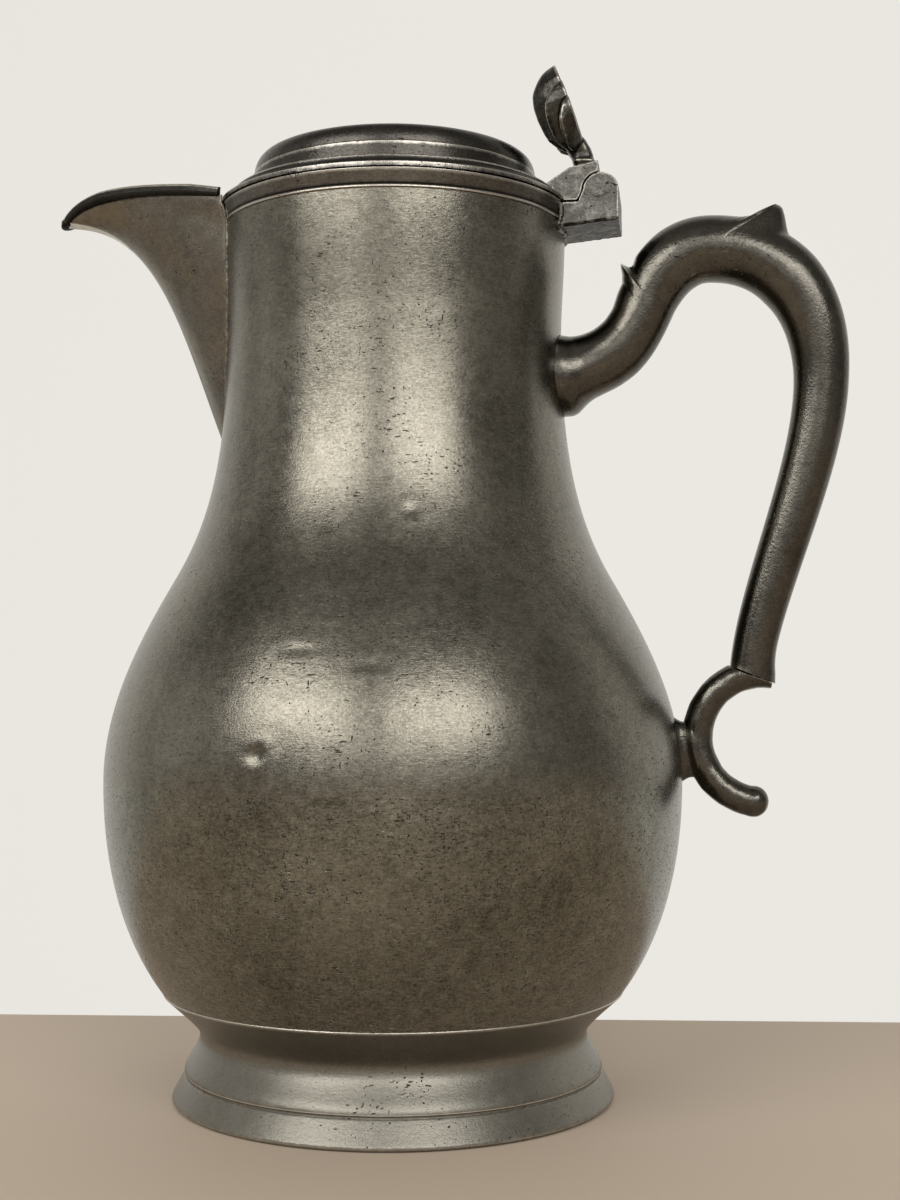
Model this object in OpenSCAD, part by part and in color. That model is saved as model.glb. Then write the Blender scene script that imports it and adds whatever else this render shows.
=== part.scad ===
// Pewter flagon: a pear-shaped vessel on a spreading foot, with a long keeled spout, a scroll handle
// and a hinged lid that is raised by a shell-shaped thumbpiece.
// Lengths are in millimetres and angles in degrees. +Z is up, the handle lies towards +X and the spout
// towards -X. The origin is the centre of the foot, on the surface that it stands on.

/* [Foot] */
// Radius of the foot where it rests
foot_r = 72.5; // [68:0.5:80]
// Height of the foot up to its joint with the belly
foot_h = 35.2; // [32:0.2:42]
// Height of the upright edge that the foot stands on
foot_edge_h = 1.5; // [0.8:0.1:2.5]
// Width of the ring that touches the table
foot_rest_w = 5; // [3:0.5:8]
// How far the fine bead is set back from the foot's edge
foot_band_in = 4; // [1:0.5:6]
// Height of the sloping band
foot_band_h = 7; // [5:0.2:8]
// Height of the fine bead above the band
foot_bead_h = 1; // [0.6:0.1:1.6]
// How far the waist is set back from the bead
foot_waist_in = 5.4; // [2:0.1:8]
// Height of the waist above the table
foot_waist_z = 16; // [14:0.2:19]
// Thickness of the foot
foot_wall = 2.8; // [2:0.1:3.6]

/* [Body] */
// How far the joint with the belly stands out past the foot's edge
joint_out = 3.2; // [-2:0.2:8]
// Greatest radius of the belly
belly_r = 95.3; // [88:0.5:105]
// Height from the foot's joint to the widest line of the belly
belly_h = 68.8; // [60:0.5:80]
// Radius of the shoulder, where the profile turns from round to hollow
shoulder_r = 72.5; // [67:0.5:78]
// Height from the widest line to the shoulder
shoulder_h = 65.3; // [58:0.5:74]
// How much the neck is narrower than the rim, on the radius
neck_in = 1.4; // [0.4:0.1:4]
// Height from the shoulder to the narrowest line of the neck
neck_h = 80.7; // [72:0.5:90]
// Radius of the neck at the rim
rim_r = 57.3; // [48:0.1:62]
// Height from the narrowest line to the rim
flare_h = 42.5; // [38:0.5:48]
// Slope of the belly where it leaves the foot, from upright
joint_lean = 37; // [30:1:42]
// Slope of the shoulder, from upright
shoulder_lean = 30; // [25:1:34]
// Thickness of the body
wall = 2.4; // [2:0.1:3]
// Thickness of the floor
floor_t = 2.4; // [1.8:0.1:3.2]
// Width of the foot's rim around the floor
floor_rim_w = 4.2; // [3.8:0.1:5]
// Width of the ledge that carries the floor
ledge_w = 4.5; // [3:0.1:5]
// Thickness of the ledge that carries the floor
ledge_t = 2.4; // [1.6:0.1:3]

/* [Rim band] */
// Height of the band round the mouth
band_h = 6; // [5:0.1:8]
// Thickness of the band at its foot
band_t = 1.4; // [1:0.1:1.6]
// How far the band flares at the rim
band_flare = 1.3; // [0.6:0.1:1.6]
// Size of the fine bead along the band's foot
band_bead = 0.7; // [0.4:0.1:1]

/* [Spout] */
// How far the tip stands out from the rim
spout_reach = 60; // [50:0.5:70]
// Depth of the spout, from the rim to the foot of its keel
spout_drop = 79; // [70:0.5:90]
// Half of the angle that the spout takes up on the neck
spout_angle = 27; // [22:1:30]
// Height of the tip's underside above the rim
tip_rise = 0.3; // [0:0.1:3]
// Thickness of the beak at the tip
tip_t = 1.5; // [1.2:0.1:2.5]
// Width of the beak at the tip
tip_w = 6; // [5.6:0.1:8]
// Thickness of the cheeks
cheek_t = 1.8; // [1.4:0.1:2.2]
// Height of the cheeks' ends above the rim
cheek_rise = 1.5; // [1:0.1:3]
// How far the arch of the edge is pulled up
edge_arch = 8.3; // [5:0.1:11]
// Width of the bead along the edge
lip_w = 3.8; // [3:0.1:4.2]
// Height of the bead along the edge
lip_h = 3; // [2:0.1:4]
// Diameter of the strainer holes behind the spout
strainer_d = 4; // [3:0.1:5]
// Distance between the strainer holes
strainer_pitch = 8.5; // [7:0.1:10]

/* [Handle] */
// Depth of the root's centre below the rim
root_drop = 55.5; // [48:0.5:62]
// Depth of the crest's centre line below the rim
crest_drop = 14.6; // [12:0.2:20]
// How far the back of the handle stands out past its lower end
back_bulge = 23.4; // [16:0.2:28]
// Height of the handle where it springs from the neck
root_t = 26.5; // [22:0.5:30]
// Thickness of the rising arm
arm_t = 20.2; // [17:0.2:23]
// Thickness at the crest
crest_t = 22; // [18:0.2:24]
// Thickness at the back
back_t = 17.8; // [16:0.2:22]
// Thickness at the lower end
end_t = 13.6; // [11:0.2:15]
// Height of the spur on top of the handle
top_spur_h = 7.4; // [5:0.2:11]
// Height of the spur in front of the crest
front_spur_h = 2.8; // [1:0.2:5]

/* [Handle tail] */
// Radius of the tail's round bar
tail_r = 4.9; // [4:0.1:6]
// Radius of the tail's bend, at the middle of the bar
tail_bend_r = 20.9; // [18:0.1:25]
// Height of the bend's centre above the belly's widest line
tail_rise = 13.7; // [5:0.1:20]
// Radius of the knob at the tail's free end
tail_knob_r = 5.1; // [5.1:0.1:7]
// Tilt of the joint between the handle and its tail
tail_joint_tilt = 22; // [15:1:28]
// Least distance between the tail and the belly
boss_t = 1.2; // [1.2:0.1:3]
// Height of the pad between them
boss_h = 20.6; // [14:0.2:24]
// Width of the pad
boss_w = 9.6; // [7:0.1:12]
// Depth of the pad's centre below the bend's centre
boss_drop = 4; // [2:0.1:6]

/* [Hinge] */
// How far the pin stands out from the rim band
hinge_out = 11.4; // [11:0.1:14]
// Height of the pin above the rim
hinge_up = 3.3; // [3.2:0.1:5]
// Width of the hinge
hinge_w = 24; // [20:0.5:28]
// Radius of the ears
ear_r = 5.8; // [5.2:0.1:6.2]
// Width of the ears' sloping cheeks
ear_cheek = 1.6; // [1:0.1:2]
// Width of the middle knuckle
knuckle_w = 8; // [6:0.1:10]
// Diameter of the pin
pin_d = 3.8; // [3:0.1:5]
// Depth of the bracket below the rim
bracket_drop = 7.2; // [6.8:0.1:9]
// How far the bracket's underside climbs, in degrees
bracket_tilt = 6; // [3:1:8]

/* [Lid] */
// How far the lid's flange stands out past the neck's rim
flange_over = 1.7; // [1.5:0.1:2.7]
// Thickness of the flange at its edge
flange_t = 1.4; // [1:0.1:2]
// Width of the hollow moulding
cove_w = 3.8; // [2:0.1:6]
// Height of the hollow moulding
cove_h = 3; // [2:0.1:4]
// How far the drum's side is set back from the rim
drum_inset = 9.4; // [8.3:0.1:11.3]
// Height of the drum's upright side
drum_side_h = 6.8; // [5:0.1:8]
// Height of the round above the drum's side
drum_round_h = 6.6; // [5:0.1:8]
// Width of the round above the drum's side
drum_round_w = 4.6; // [4:0.1:8]
// Height of the dome above the round
dome_h = 1.6; // [0.8:0.1:3]
// Step of the turned line round the drum
drum_step = 0.5; // [0.3:0.1:0.8]
// Thickness of the lid
lid_wall = 2.2; // [1.6:0.1:2.6]
// Depth of the bezel inside the mouth
bezel_h = 6.4; // [5:0.1:7]
// Thickness of the bezel
bezel_t = 1.8; // [1.2:0.1:2.4]

/* [Lid strap and thumbpiece] */
// Height at which the strap leaves the drum
strap_foot_h = 3; // [2.4:0.1:4]
// Thickness of the strap above the ears
strap_t = 4; // [3:0.1:5]
// How far the strap's crest lies in front of the pin
strap_crest = 10.3; // [9.6:0.1:11.5]
// How far the strap falls from its end to its crest
strap_fall = 2; // [1:0.1:3]
// How far the strap's end lies in front of the pin
strap_end = 0.8; // [0.4:0.1:1.6]
// Distance of the stem's back from the strap's end
thumb_inset = 1.8; // [1.2:0.1:2]
// Height of the thumbpiece
thumb_h = 36.4; // [30:0.2:42]
// Width of the shell
thumb_w = 29; // [24:0.5:34]
// How far the shell leans forward of the stem's back
thumb_reach = 20.9; // [18.6:0.1:23]
// Depth of the flutes between the lobes
flute_depth = 1.6; // [0.8:0.1:2]

/* [Fits] */
// Gap that the solder fills between two pieces
solder_gap = 0.08; // [0.06:0.01:0.12]
// Running clearance of the pin, on the radius
pin_clear = 0.05; // [0.03:0.01:0.08]
// Clearance at the knuckle's sides
knuckle_clear = 0.3; // [0.25:0.05:0.5]
// Clearance between the strap and the ears
ear_clear = 0.4; // [0.3:0.05:0.6]
// Gap between the rim and the lid
lid_gap = 0.3; // [0.2:0.05:0.5]
// Clearance between the bezel and the mouth
bezel_clear = 0.5; // [0.45:0.05:0.8]
// Clearance between the lid's flange and the spout
flange_clear = 0.5; // [0.4:0.05:0.8]

/* [Hidden] */
$fn = 96;

// How far every cut runs past what it cuts
overrun = 3;
// Straight steps along each curve of the turned profiles
steps = 18;

// Heights and radii of the main lines
joint_r = foot_r + joint_out;
belly_z = foot_h + belly_h;
shoulder_z = belly_z + shoulder_h;
neck_z = shoulder_z + neck_h;
rim_z = neck_z + flare_h;
band_z = rim_z - band_h;
lid_z = rim_z + lid_gap;
neck_r = rim_r - neck_in;
flange_r = rim_r + flange_over;
cove_r = flange_r - cove_w;
drum_r = rim_r - drum_inset;
drum_z = lid_z + flange_t + cove_h;
round_z = drum_z + drum_side_h;

// Pull of each end of the body's curves along its tangent, as shares of that curve's height
lower_pull_shares = [0.29, 0.44];
upper_pull_shares = [0.37, 0.34];
neck_pull_shares = [0.22, 0.56];
flare_pull_shares = [0.28, 0.5];

// Turned profiles as curves of four points, radius and height
shoulder = [shoulder_r, shoulder_z];
shoulder_run = [-sin(shoulder_lean), cos(shoulder_lean)];
lower_curve = [
    [joint_r, foot_h],
    [joint_r, foot_h] + belly_h * lower_pull_shares[0] * [sin(joint_lean), cos(joint_lean)],
    [belly_r, belly_z - belly_h * lower_pull_shares[1]],
    [belly_r, belly_z]];
upper_curve = [
    [belly_r, belly_z],
    [belly_r, belly_z + shoulder_h * upper_pull_shares[0]],
    shoulder - shoulder_h * upper_pull_shares[1] * shoulder_run,
    shoulder];
neck_curve = [
    shoulder,
    shoulder + neck_h * neck_pull_shares[0] * shoulder_run,
    [neck_r, neck_z - neck_h * neck_pull_shares[1]],
    [neck_r, neck_z]];
flare_curve = [
    [neck_r, neck_z],
    [neck_r, neck_z + flare_h * flare_pull_shares[0]],
    [rim_r, rim_z - flare_h * flare_pull_shares[1]],
    [rim_r, rim_z]];

// Points between a and b, and points on a curve of any degree
function lerp(a, b, t) = a + (b - a) * t;
function differences(c) = [for (i = [0 : len(c) - 2]) c[i + 1] - c[i]];
function bezier(c, t) =
    len(c) == 1 ? c[0] : bezier([for (i = [0 : len(c) - 2]) lerp(c[i], c[i + 1], t)], t);
function unit(v) = v / norm(v);
function reversed(list) = [for (i = [len(list) - 1 : -1 : 0]) list[i]];
function flatten(lists) = [for (l = lists) for (p = l) p];
function trace(c) = [for (i = [0 : steps]) bezier(c, i / steps)];
function after_first(list) = [for (i = [1 : len(list) - 1]) list[i]];

// The value that a table of rows, sorted by its first column, holds at h in another column
function row_at(table, h, i = 0) =
    i >= len(table) - 2 || h <= table[i + 1][0] ? i : row_at(table, h, i + 1);
function looked_up(table, h, column) =
    let (i = row_at(table, h), a = table[i], b = table[i + 1])
    lerp(a[column], b[column], (h - a[0]) / (b[0] - a[0]));

// The body's outer radius at a height, found by halving its curve
halvings = 24;
function curve_t(c, z, a = 0, b = 1, k = halvings) =
    let (m = (a + b) / 2)
    k == 0 ? m : bezier(c, m).y < z ? curve_t(c, z, m, b, k - 1) : curve_t(c, z, a, m, k - 1);
function body_curve(z) =
    z < belly_z ? lower_curve : z < shoulder_z ? upper_curve : z < neck_z ? neck_curve : flare_curve;
function body_r(z) = bezier(body_curve(z), curve_t(body_curve(z), z)).x;

// The inside of the wall at the same height, so that joints between shells are level
function inner_point(c, t) =
    let (p = bezier(c, t), d = bezier(differences(c), t))
    [p.x - wall * norm(d) / d.y, p.y];
function inner_trace(c) = [for (i = [0 : steps]) inner_point(c, i / steps)];
function joined(traces) =
    concat(traces[0], [for (i = [1 : 1 : len(traces) - 1]) for (p = after_first(traces[i])) p]);

module shell(curves) {
    outside = joined([for (c = curves) trace(c)]);
    inside = joined([for (c = curves) inner_trace(c)]);
    rotate_extrude() polygon(concat(outside, reversed(inside)));
}

// A closed skin over rings of equal count, with a middle point at each end
module skin(rings, first, last) {
    n = len(rings);
    m = len(rings[0]);
    sides = [for (i = [0 : n - 2]) for (j = [0 : m - 1])
        let (a = i * m + j, b = i * m + (j + 1) % m)
        each [[a, b, a + m], [b, b + m, a + m]]];
    starts = [for (j = [0 : m - 1]) [n * m, (j + 1) % m, j]];
    ends = [for (j = [0 : m - 1]) [n * m + 1, (n - 1) * m + j, (n - 1) * m + (j + 1) % m]];
    polyhedron(concat(flatten(rings), [first, last]), concat(sides, starts, ends), convexity = 6);
}

// The body and its band as one solid, grown by a gap, for pieces that are fitted to them
module vessel_space(gap) {
    outside = joined([trace(lower_curve), trace(upper_curve), trace(neck_curve), trace(flare_curve)]);
    grown = [for (p = outside) [p.x + gap, p.y]];
    rotate_extrude() polygon(concat(grown, [[0, rim_z], [0, foot_h]]));
    rotate_extrude() translate([0, -gap]) polygon([for (p = band_outline()) [max(0, p.x + gap), p.y]]);
}

// Foot
foot_band_r = foot_r - foot_band_in;
foot_waist_r = foot_band_r - foot_waist_in;
foot_band_z = foot_edge_h + foot_band_h;
foot_bead_z = foot_band_z + foot_bead_h;
floor_z = foot_h - floor_t;
floor_r = joint_r - floor_rim_w;
ledge_r = floor_r - ledge_w;
// How far round the fine bead goes each way, and the step between its points
bead_turn = 75;
bead_step = 15;
// Pull of the round below the waist and of the hollow above it, as shares of their width and height
foot_round_shares = [0.6, 0.45];
foot_hollow_shares = [0.42, 0.55, 0.68];
foot_round_curve = [
    [foot_band_r, foot_bead_z],
    [foot_band_r, lerp(foot_bead_z, foot_waist_z, foot_round_shares[0])],
    [lerp(foot_waist_r, foot_band_r, foot_round_shares[1]), foot_waist_z],
    [foot_waist_r, foot_waist_z]];
function foot_hollow(bottom, top) = [
    bottom,
    [bottom.x, lerp(bottom.y, top.y, foot_hollow_shares[0])],
    [lerp(bottom.x, top.x, foot_hollow_shares[1]), lerp(bottom.y, top.y, foot_hollow_shares[2])],
    top];

module foot_ring() {
    bead_r = foot_bead_h / 2;
    bead = [for (a = [-bead_turn : bead_step : bead_turn])
        [foot_band_r, foot_band_z + bead_r] + bead_r * [cos(a), sin(a)]];
    outside = concat(
        [[foot_r, 0], [foot_r, foot_edge_h], [foot_band_r, foot_band_z]],
        bead,
        trace(foot_round_curve),
        after_first(trace(foot_hollow([foot_waist_r, foot_waist_z], [joint_r, foot_h]))));
    inside = concat(
        [[foot_r - foot_rest_w, 0]],
        trace(foot_hollow([foot_waist_r - foot_wall, foot_waist_z], [ledge_r, floor_z - ledge_t])),
        [[ledge_r, floor_z], [floor_r + solder_gap, floor_z], [floor_r + solder_gap, foot_h]]);
    color("#8d8a86") rotate_extrude() polygon(concat(outside, reversed(inside)));
}

module floor_disc() {
    color("#77736e") translate([0, 0, floor_z]) cylinder(h = floor_t, r = floor_r);
}

// Body
module belly_lower() {
    color("#6f6a64") shell([lower_curve]);
}

// Rows of the strainer, from the lowest up: how many holes each has
strainer_rows = [1, 2, 3, 2, 3];
// Height of the lowest row above the spout's foot, as a share of the spout's depth
strainer_start_share = 0.34;

module strainer() {
    for (k = [0 : len(strainer_rows) - 1])
        for (i = [0 : strainer_rows[k] - 1])
            translate([
                -rim_r - wall - overrun,
                (i - (strainer_rows[k] - 1) / 2) * strainer_pitch,
                rim_z - spout_drop * (1 - strainer_start_share) + k * strainer_pitch])
            rotate([0, 90, 0])
            cylinder(h = rim_r / 2, d = strainer_d);
}

module body_upper() {
    color("#6f6a64") difference() {
        shell([upper_curve, neck_curve, flare_curve]);
        rotate_extrude() translate([rim_r - band_t, band_z]) square([band_t + overrun, band_h + overrun]);
        strainer();
    }
}

// Rim band, from the inside of its foot round to the inside of its top
function band_outline() = [
    [rim_r - band_t + solder_gap, band_z + solder_gap],
    [rim_r + band_bead, band_z + solder_gap],
    [rim_r + band_bead, band_z + band_bead],
    [rim_r, band_z + 2 * band_bead],
    [rim_r + band_flare, rim_z],
    [rim_r - band_t + solder_gap, rim_z]];
// Angle at which the band stops short of the spout's seam
band_open = spout_angle + asin((cheek_t / 2 + solder_gap) / rim_r);

module rim_band() {
    color("#7c7771") rotate([0, 0, band_open - 180])
        rotate_extrude(angle = 360 - 2 * band_open) polygon(band_outline());
}

// Spout: each station has a keel point and two edge points, with rounded cheeks between them
spout_stations = 18;
cheek_points = 10;
// How round the cheeks meet at the keel: 1 is sharp and 2 is an ellipse
keel_round = 1.45;
// How fast the stations bend to the neck
seam_power = 4;
keel_z = rim_z - spout_drop;
tip_z = rim_z + tip_rise;
tip_x = -rim_r - spout_reach;
edge_z = rim_z + cheek_rise;
// Places along the keel and the edge, as shares of the way from the neck out to the tip, sideways from
// the tip to the neck, and up from the foot of the keel
keel_shares = [[1, 1], [0.71, 0.99], [0.39, 0.95], [0.235, 0.435], [0, 0]];
edge_out_shares = [0.96, 0.84, 0.44, 0];
edge_side_shares = [0, 0.14, 0.58, 1];
// Share of the spout's length over which the trough's floor runs up to the tip
tip_ramp_share = 0.16;

// Radius that the seam follows: the neck, then outward past the band to clear the lid
function seam_r(z) = solder_gap + (z <= band_z ? body_r(z)
    : lerp(rim_r, flange_r + flange_clear, min(1, (z - band_z) / band_h)));
function bulge(v) = pow(1 - pow(1 - v, keel_round), 1 / keel_round);
function keel_curve(z0) =
    [for (s = keel_shares) [lerp(-seam_r(z0), tip_x, s.x), lerp(z0, tip_z, s.y)]];
function edge_end(inset) =
    let (a = spout_angle - asin(inset / rim_r))
    seam_r(edge_z) * [-cos(a), sin(a)];
function edge_curve(inset) =
    let (e = edge_end(inset), heights = [tip_z + tip_t, edge_z + edge_arch, edge_z + edge_arch, edge_z])
    [for (i = [0 : len(heights) - 1]) [
        lerp(e.x, tip_x, edge_out_shares[i]),
        lerp(tip_w / 2 - inset, e.y, edge_side_shares[i]),
        heights[i]]];

// The keel's point at a station, moved inward by inset and, for the trough, run up to the tip
function keel_point(u, inset) =
    let (
        c = keel_curve(keel_z),
        p = bezier(c, u),
        d = unit(bezier(differences(c), u)),
        in = p + inset * [-d.y, d.x],
        e = bezier(edge_curve(inset), u),
        ramp = min(1, u / tip_ramp_share))
    inset == 0 ? p : lerp([e.x, e.z - solder_gap], in, ramp);
function ruled(u, v, inset) =
    let (k = keel_point(u, inset), e = bezier(edge_curve(inset), u))
    [lerp(k.x, e.x, v), e.y * bulge(v), lerp(k.y, e.z, v)];
function seam_point(v, inset) =
    let (
        z = lerp(keel_z + 2 * inset, edge_z, v),
        e = edge_end(inset),
        a = atan2(e.y, -e.x) * bulge(v))
    [-seam_r(z) * cos(a), seam_r(z) * sin(a), z];
function cheek_point(u, s, inset) =
    let (
        v = abs(s),
        p = ruled(u, v, inset) + pow(u, seam_power) * (seam_point(v, inset) - ruled(1, v, inset)))
    [p.x, s < 0 ? -p.y : p.y, p.z];
function station(u, inset) =
    [for (j = [-cheek_points : cheek_points]) cheek_point(u, j / cheek_points, inset)];

module spout() {
    loops = [for (i = [0 : spout_stations])
        concat(station(i / spout_stations, 0), reversed(station(i / spout_stations, cheek_t)))];
    m = len(loops[0]);
    last = spout_stations * m;
    sides = [for (i = [0 : spout_stations - 1]) for (j = [0 : m - 1])
        let (a = i * m + j, b = i * m + (j + 1) % m)
        each [[a, a + m, b], [b, a + m, b + m]]];
    ends = [for (j = [0 : m / 2 - 2])
        let (a = j, b = j + 1, c = m - 2 - j, d = m - 1 - j)
        each [[a, b, d], [b, c, d], [last + a, last + d, last + b], [last + b, last + d, last + c]]];
    color("#6a645d") polyhedron(flatten(loops), concat(sides, ends), convexity = 8);
}

// Bead along the edge: down one cheek, round the tip and back along the other
lip_stations = 22;
lip_tip_points = 6;
lip_end_share = 0.96;
lip_sides = 10;
function lip_place(u) =
    let (e = bezier(edge_curve(cheek_t / 2), u))
    [e.x, e.y, e.z + 2 * solder_gap];
function lip_side(u) =
    let (d = unit(bezier(differences(edge_curve(cheek_t / 2)), u)))
    unit([-d.y, d.x, 0]);
function lip_ring(p, side) = [for (k = [0 : lip_sides - 1])
    let (a = 180 * k / (lip_sides - 1))
    p + lip_w / 2 * cos(a) * side + [0, 0, lip_h * sin(a)]];
function mirrored(ring) = [for (p = ring) [p.x, -p.y, p.z]];
lip_cheek = [for (i = [0 : lip_stations])
    let (u = lip_end_share * (1 - i / lip_stations))
    lip_ring(lip_place(u), lip_side(u))];
lip_tip = [for (i = [1 : lip_tip_points - 1])
    let (a = 90 + 180 * i / lip_tip_points, side = [cos(a), sin(a), 0], p = lip_place(0))
    lip_ring([p.x, 0, p.z] + p.y * side, side)];

module spout_lip() {
    rings = concat(lip_cheek, lip_tip, reversed([for (r = lip_cheek) mirrored(r)]));
    first = lip_place(lip_end_share) + [0, 0, lip_h / 2];
    color("#57514a") skin(rings, first, [first.x, -first.y, first.z]);
}

// Hinge
hinge_x = rim_r + band_flare + hinge_out;
hinge_z = rim_z + hinge_up;
ear_back_x = hinge_x + ear_r;
// Top of the bracket in front of the ears, clear of the lid's flange
shelf_z = rim_z - lid_gap;
// Direction from the pin at which the ears' cheeks meet their round tops
ear_turn = 140;
function under_z(x, drop) = rim_z - drop + (x - rim_r) * tan(bracket_tilt);

module across(w) {
    rotate([90, 0, 0]) linear_extrude(height = w, center = true) children();
}
module ear_outline(grow) {
    translate([hinge_x, hinge_z]) circle(r = ear_r + grow);
    polygon([
        [hinge_x - ear_r - ear_cheek - grow, shelf_z - grow],
        [ear_back_x, shelf_z - grow],
        [ear_back_x, hinge_z],
        [hinge_x, hinge_z] + (ear_r + grow) * [cos(ear_turn), sin(ear_turn)]]);
}
module pin_bore(clear) {
    translate([hinge_x, 0, hinge_z]) rotate([90, 0, 0])
        cylinder(h = hinge_w + 2 * overrun, d = pin_d + 2 * clear, center = true);
}

module hinge_bracket() {
    inside_x = rim_r - overrun;
    color("#807c77") difference() {
        across(hinge_w) {
            ear_outline(0);
            polygon([
                [inside_x, under_z(inside_x, bracket_drop)],
                [ear_back_x, under_z(ear_back_x, bracket_drop)],
                [ear_back_x, shelf_z],
                [inside_x, shelf_z]]);
        }
        across(knuckle_w + 2 * knuckle_clear) {
            translate([hinge_x, hinge_z]) circle(r = ear_r + ear_clear);
            translate([inside_x, shelf_z]) square([ear_back_x - inside_x + overrun, hinge_up + 2 * ear_r]);
        }
        pin_bore(0);
        vessel_space(solder_gap);
    }
}

module hinge_pin() {
    color("#8a8680") translate([hinge_x, 0, hinge_z]) rotate([90, 0, 0])
        cylinder(h = hinge_w, d = pin_d, center = true);
}

// Handle: four curves from the neck over the crest and down to the tail
tail_z = belly_z + tail_rise;
tail_x = body_r(tail_z) + boss_t + tail_r + tail_bend_r;
// Directions from the bend's centre to the tail's joint and its two ends
tail_joint_turn = 100;
tail_start_turn = 80;
tail_end_turn = 261;
tail_joint = [tail_x, tail_z] + tail_bend_r * [cos(tail_joint_turn), sin(tail_joint_turn)];
root = [body_r(rim_z - root_drop) + solder_gap, rim_z - root_drop];
back_x = tail_joint.x + back_bulge;
crest_z = rim_z - crest_drop;
// Places of the curves' joints and pulls, as shares of the way between their neighbours
rise_shares = [0.335, 0.61];
crest_share = 0.575;
back_share = 0.3;
rise_pull_shares = [[0.53, 0.1], [0.77, 0.48]];
crest_pull_shares = [0.69, 0.51, 0.61, 0.38];
end_pull_shares = [0.31, 0.89, 0.72];
rise = [lerp(root.x, back_x, rise_shares[0]), lerp(root.y, crest_z, rise_shares[1])];
crest = [lerp(root.x, back_x, crest_share), crest_z];
back = [back_x, lerp(crest_z, tail_joint.y, back_share)];
rise_pulls = [for (s = rise_pull_shares) [lerp(root.x, rise.x, s.x), lerp(root.y, rise.y, s.y)]];
handle_curves = [
    [root, rise_pulls[0], rise_pulls[1], rise],
    [rise, rise + (rise - rise_pulls[1]) * crest_pull_shares[0],
        [lerp(rise.x, crest.x, crest_pull_shares[1]), crest_z], crest],
    [crest, [lerp(crest.x, back_x, crest_pull_shares[2]), crest_z],
        [back_x, lerp(crest_z, back.y, crest_pull_shares[3])], back],
    [back, [back_x, lerp(back.y, tail_joint.y, end_pull_shares[0])],
        [lerp(back_x, tail_joint.x, end_pull_shares[1]), lerp(back.y, tail_joint.y, end_pull_shares[2])],
        tail_joint]];
// Thickness along the handle, at places counted in shares of a curve from the neck
root_taper_share = 0.45;
thickness_shares = [0, 0.12, 0.35, 1, 1.6, 2.5, 3, 4];
root_taper_t = lerp(root_t, arm_t, root_taper_share);
thicknesses = [root_t, root_taper_t, arm_t, arm_t, crest_t, crest_t, back_t, end_t];
handle_thickness = [for (i = [0 : len(thicknesses) - 1]) [thickness_shares[i], thicknesses[i]]];
// Width of the handle as a share of its thickness
handle_width_share = 0.92;
// Rings along each curve, and the rings at which each spur starts, peaks and ends
handle_rings = 12;
top_spur_rings = [25, 27, 28];
front_spur_rings = [11, 14, 15];
handle_sides = 24;
cap_rings = 4;

// How late a spur rises along the handle, and how narrow it is across it
spur_hook = 2;
spur_ridge = 3;
function spur(ring, at, h) =
    ring <= at[0] || ring >= at[2] ? 0 : h * pow((ring - at[0]) / (at[1] - at[0]), spur_hook);
function handle_ring(ring, size) =
    let (
        s = ring / handle_rings,
        i = min(floor(s), len(handle_curves) - 1),
        c = handle_curves[i],
        p = bezier(c, s - i),
        d = unit(bezier(differences(c), s - i)),
        half = looked_up(handle_thickness, s, 1) / 2,
        lift = spur(ring, top_spur_rings, top_spur_h) + spur(ring, front_spur_rings, front_spur_h))
    [for (k = [0 : handle_sides - 1])
        let (
            a = 360 * k / handle_sides,
            up = size * (half * cos(a) + lift * pow(max(0, cos(a)), spur_ridge)),
            side = size * half * handle_width_share * sin(a))
        [p.x - d.y * up, side, p.y + d.x * up]];
// The root's points moved on to the neck
function on_neck(p) = [sqrt(pow(body_r(p.z) + solder_gap, 2) - p.y * p.y), p.y, p.z];
// The end's points moved along the handle on to the tail's joint
joint_normal = [sin(tail_joint_tilt), cos(tail_joint_tilt)];
end_run = unit(tail_joint - handle_curves[3][2]);
function on_joint(p) =
    let (q = [p.x, p.z], r = q + end_run * ((tail_joint - q) * joint_normal) / (end_run * joint_normal))
    [r.x, p.y, r.y];

module handle_scroll() {
    root_rings = [for (k = [1 : cap_rings]) [for (p = handle_ring(0, k / cap_rings)) on_neck(p)]];
    last_ring = handle_rings * len(handle_curves);
    middle_rings = [for (i = [1 : last_ring - 1]) handle_ring(i, 1)];
    end_ring = [for (p = handle_ring(last_ring, 1)) on_joint(p)];
    first = on_neck([root.x, 0, root.y]);
    last = [tail_joint.x, 0, tail_joint.y];
    color("#5d5750") skin(concat(root_rings, middle_rings, [end_ring]), first, last);
}

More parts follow.
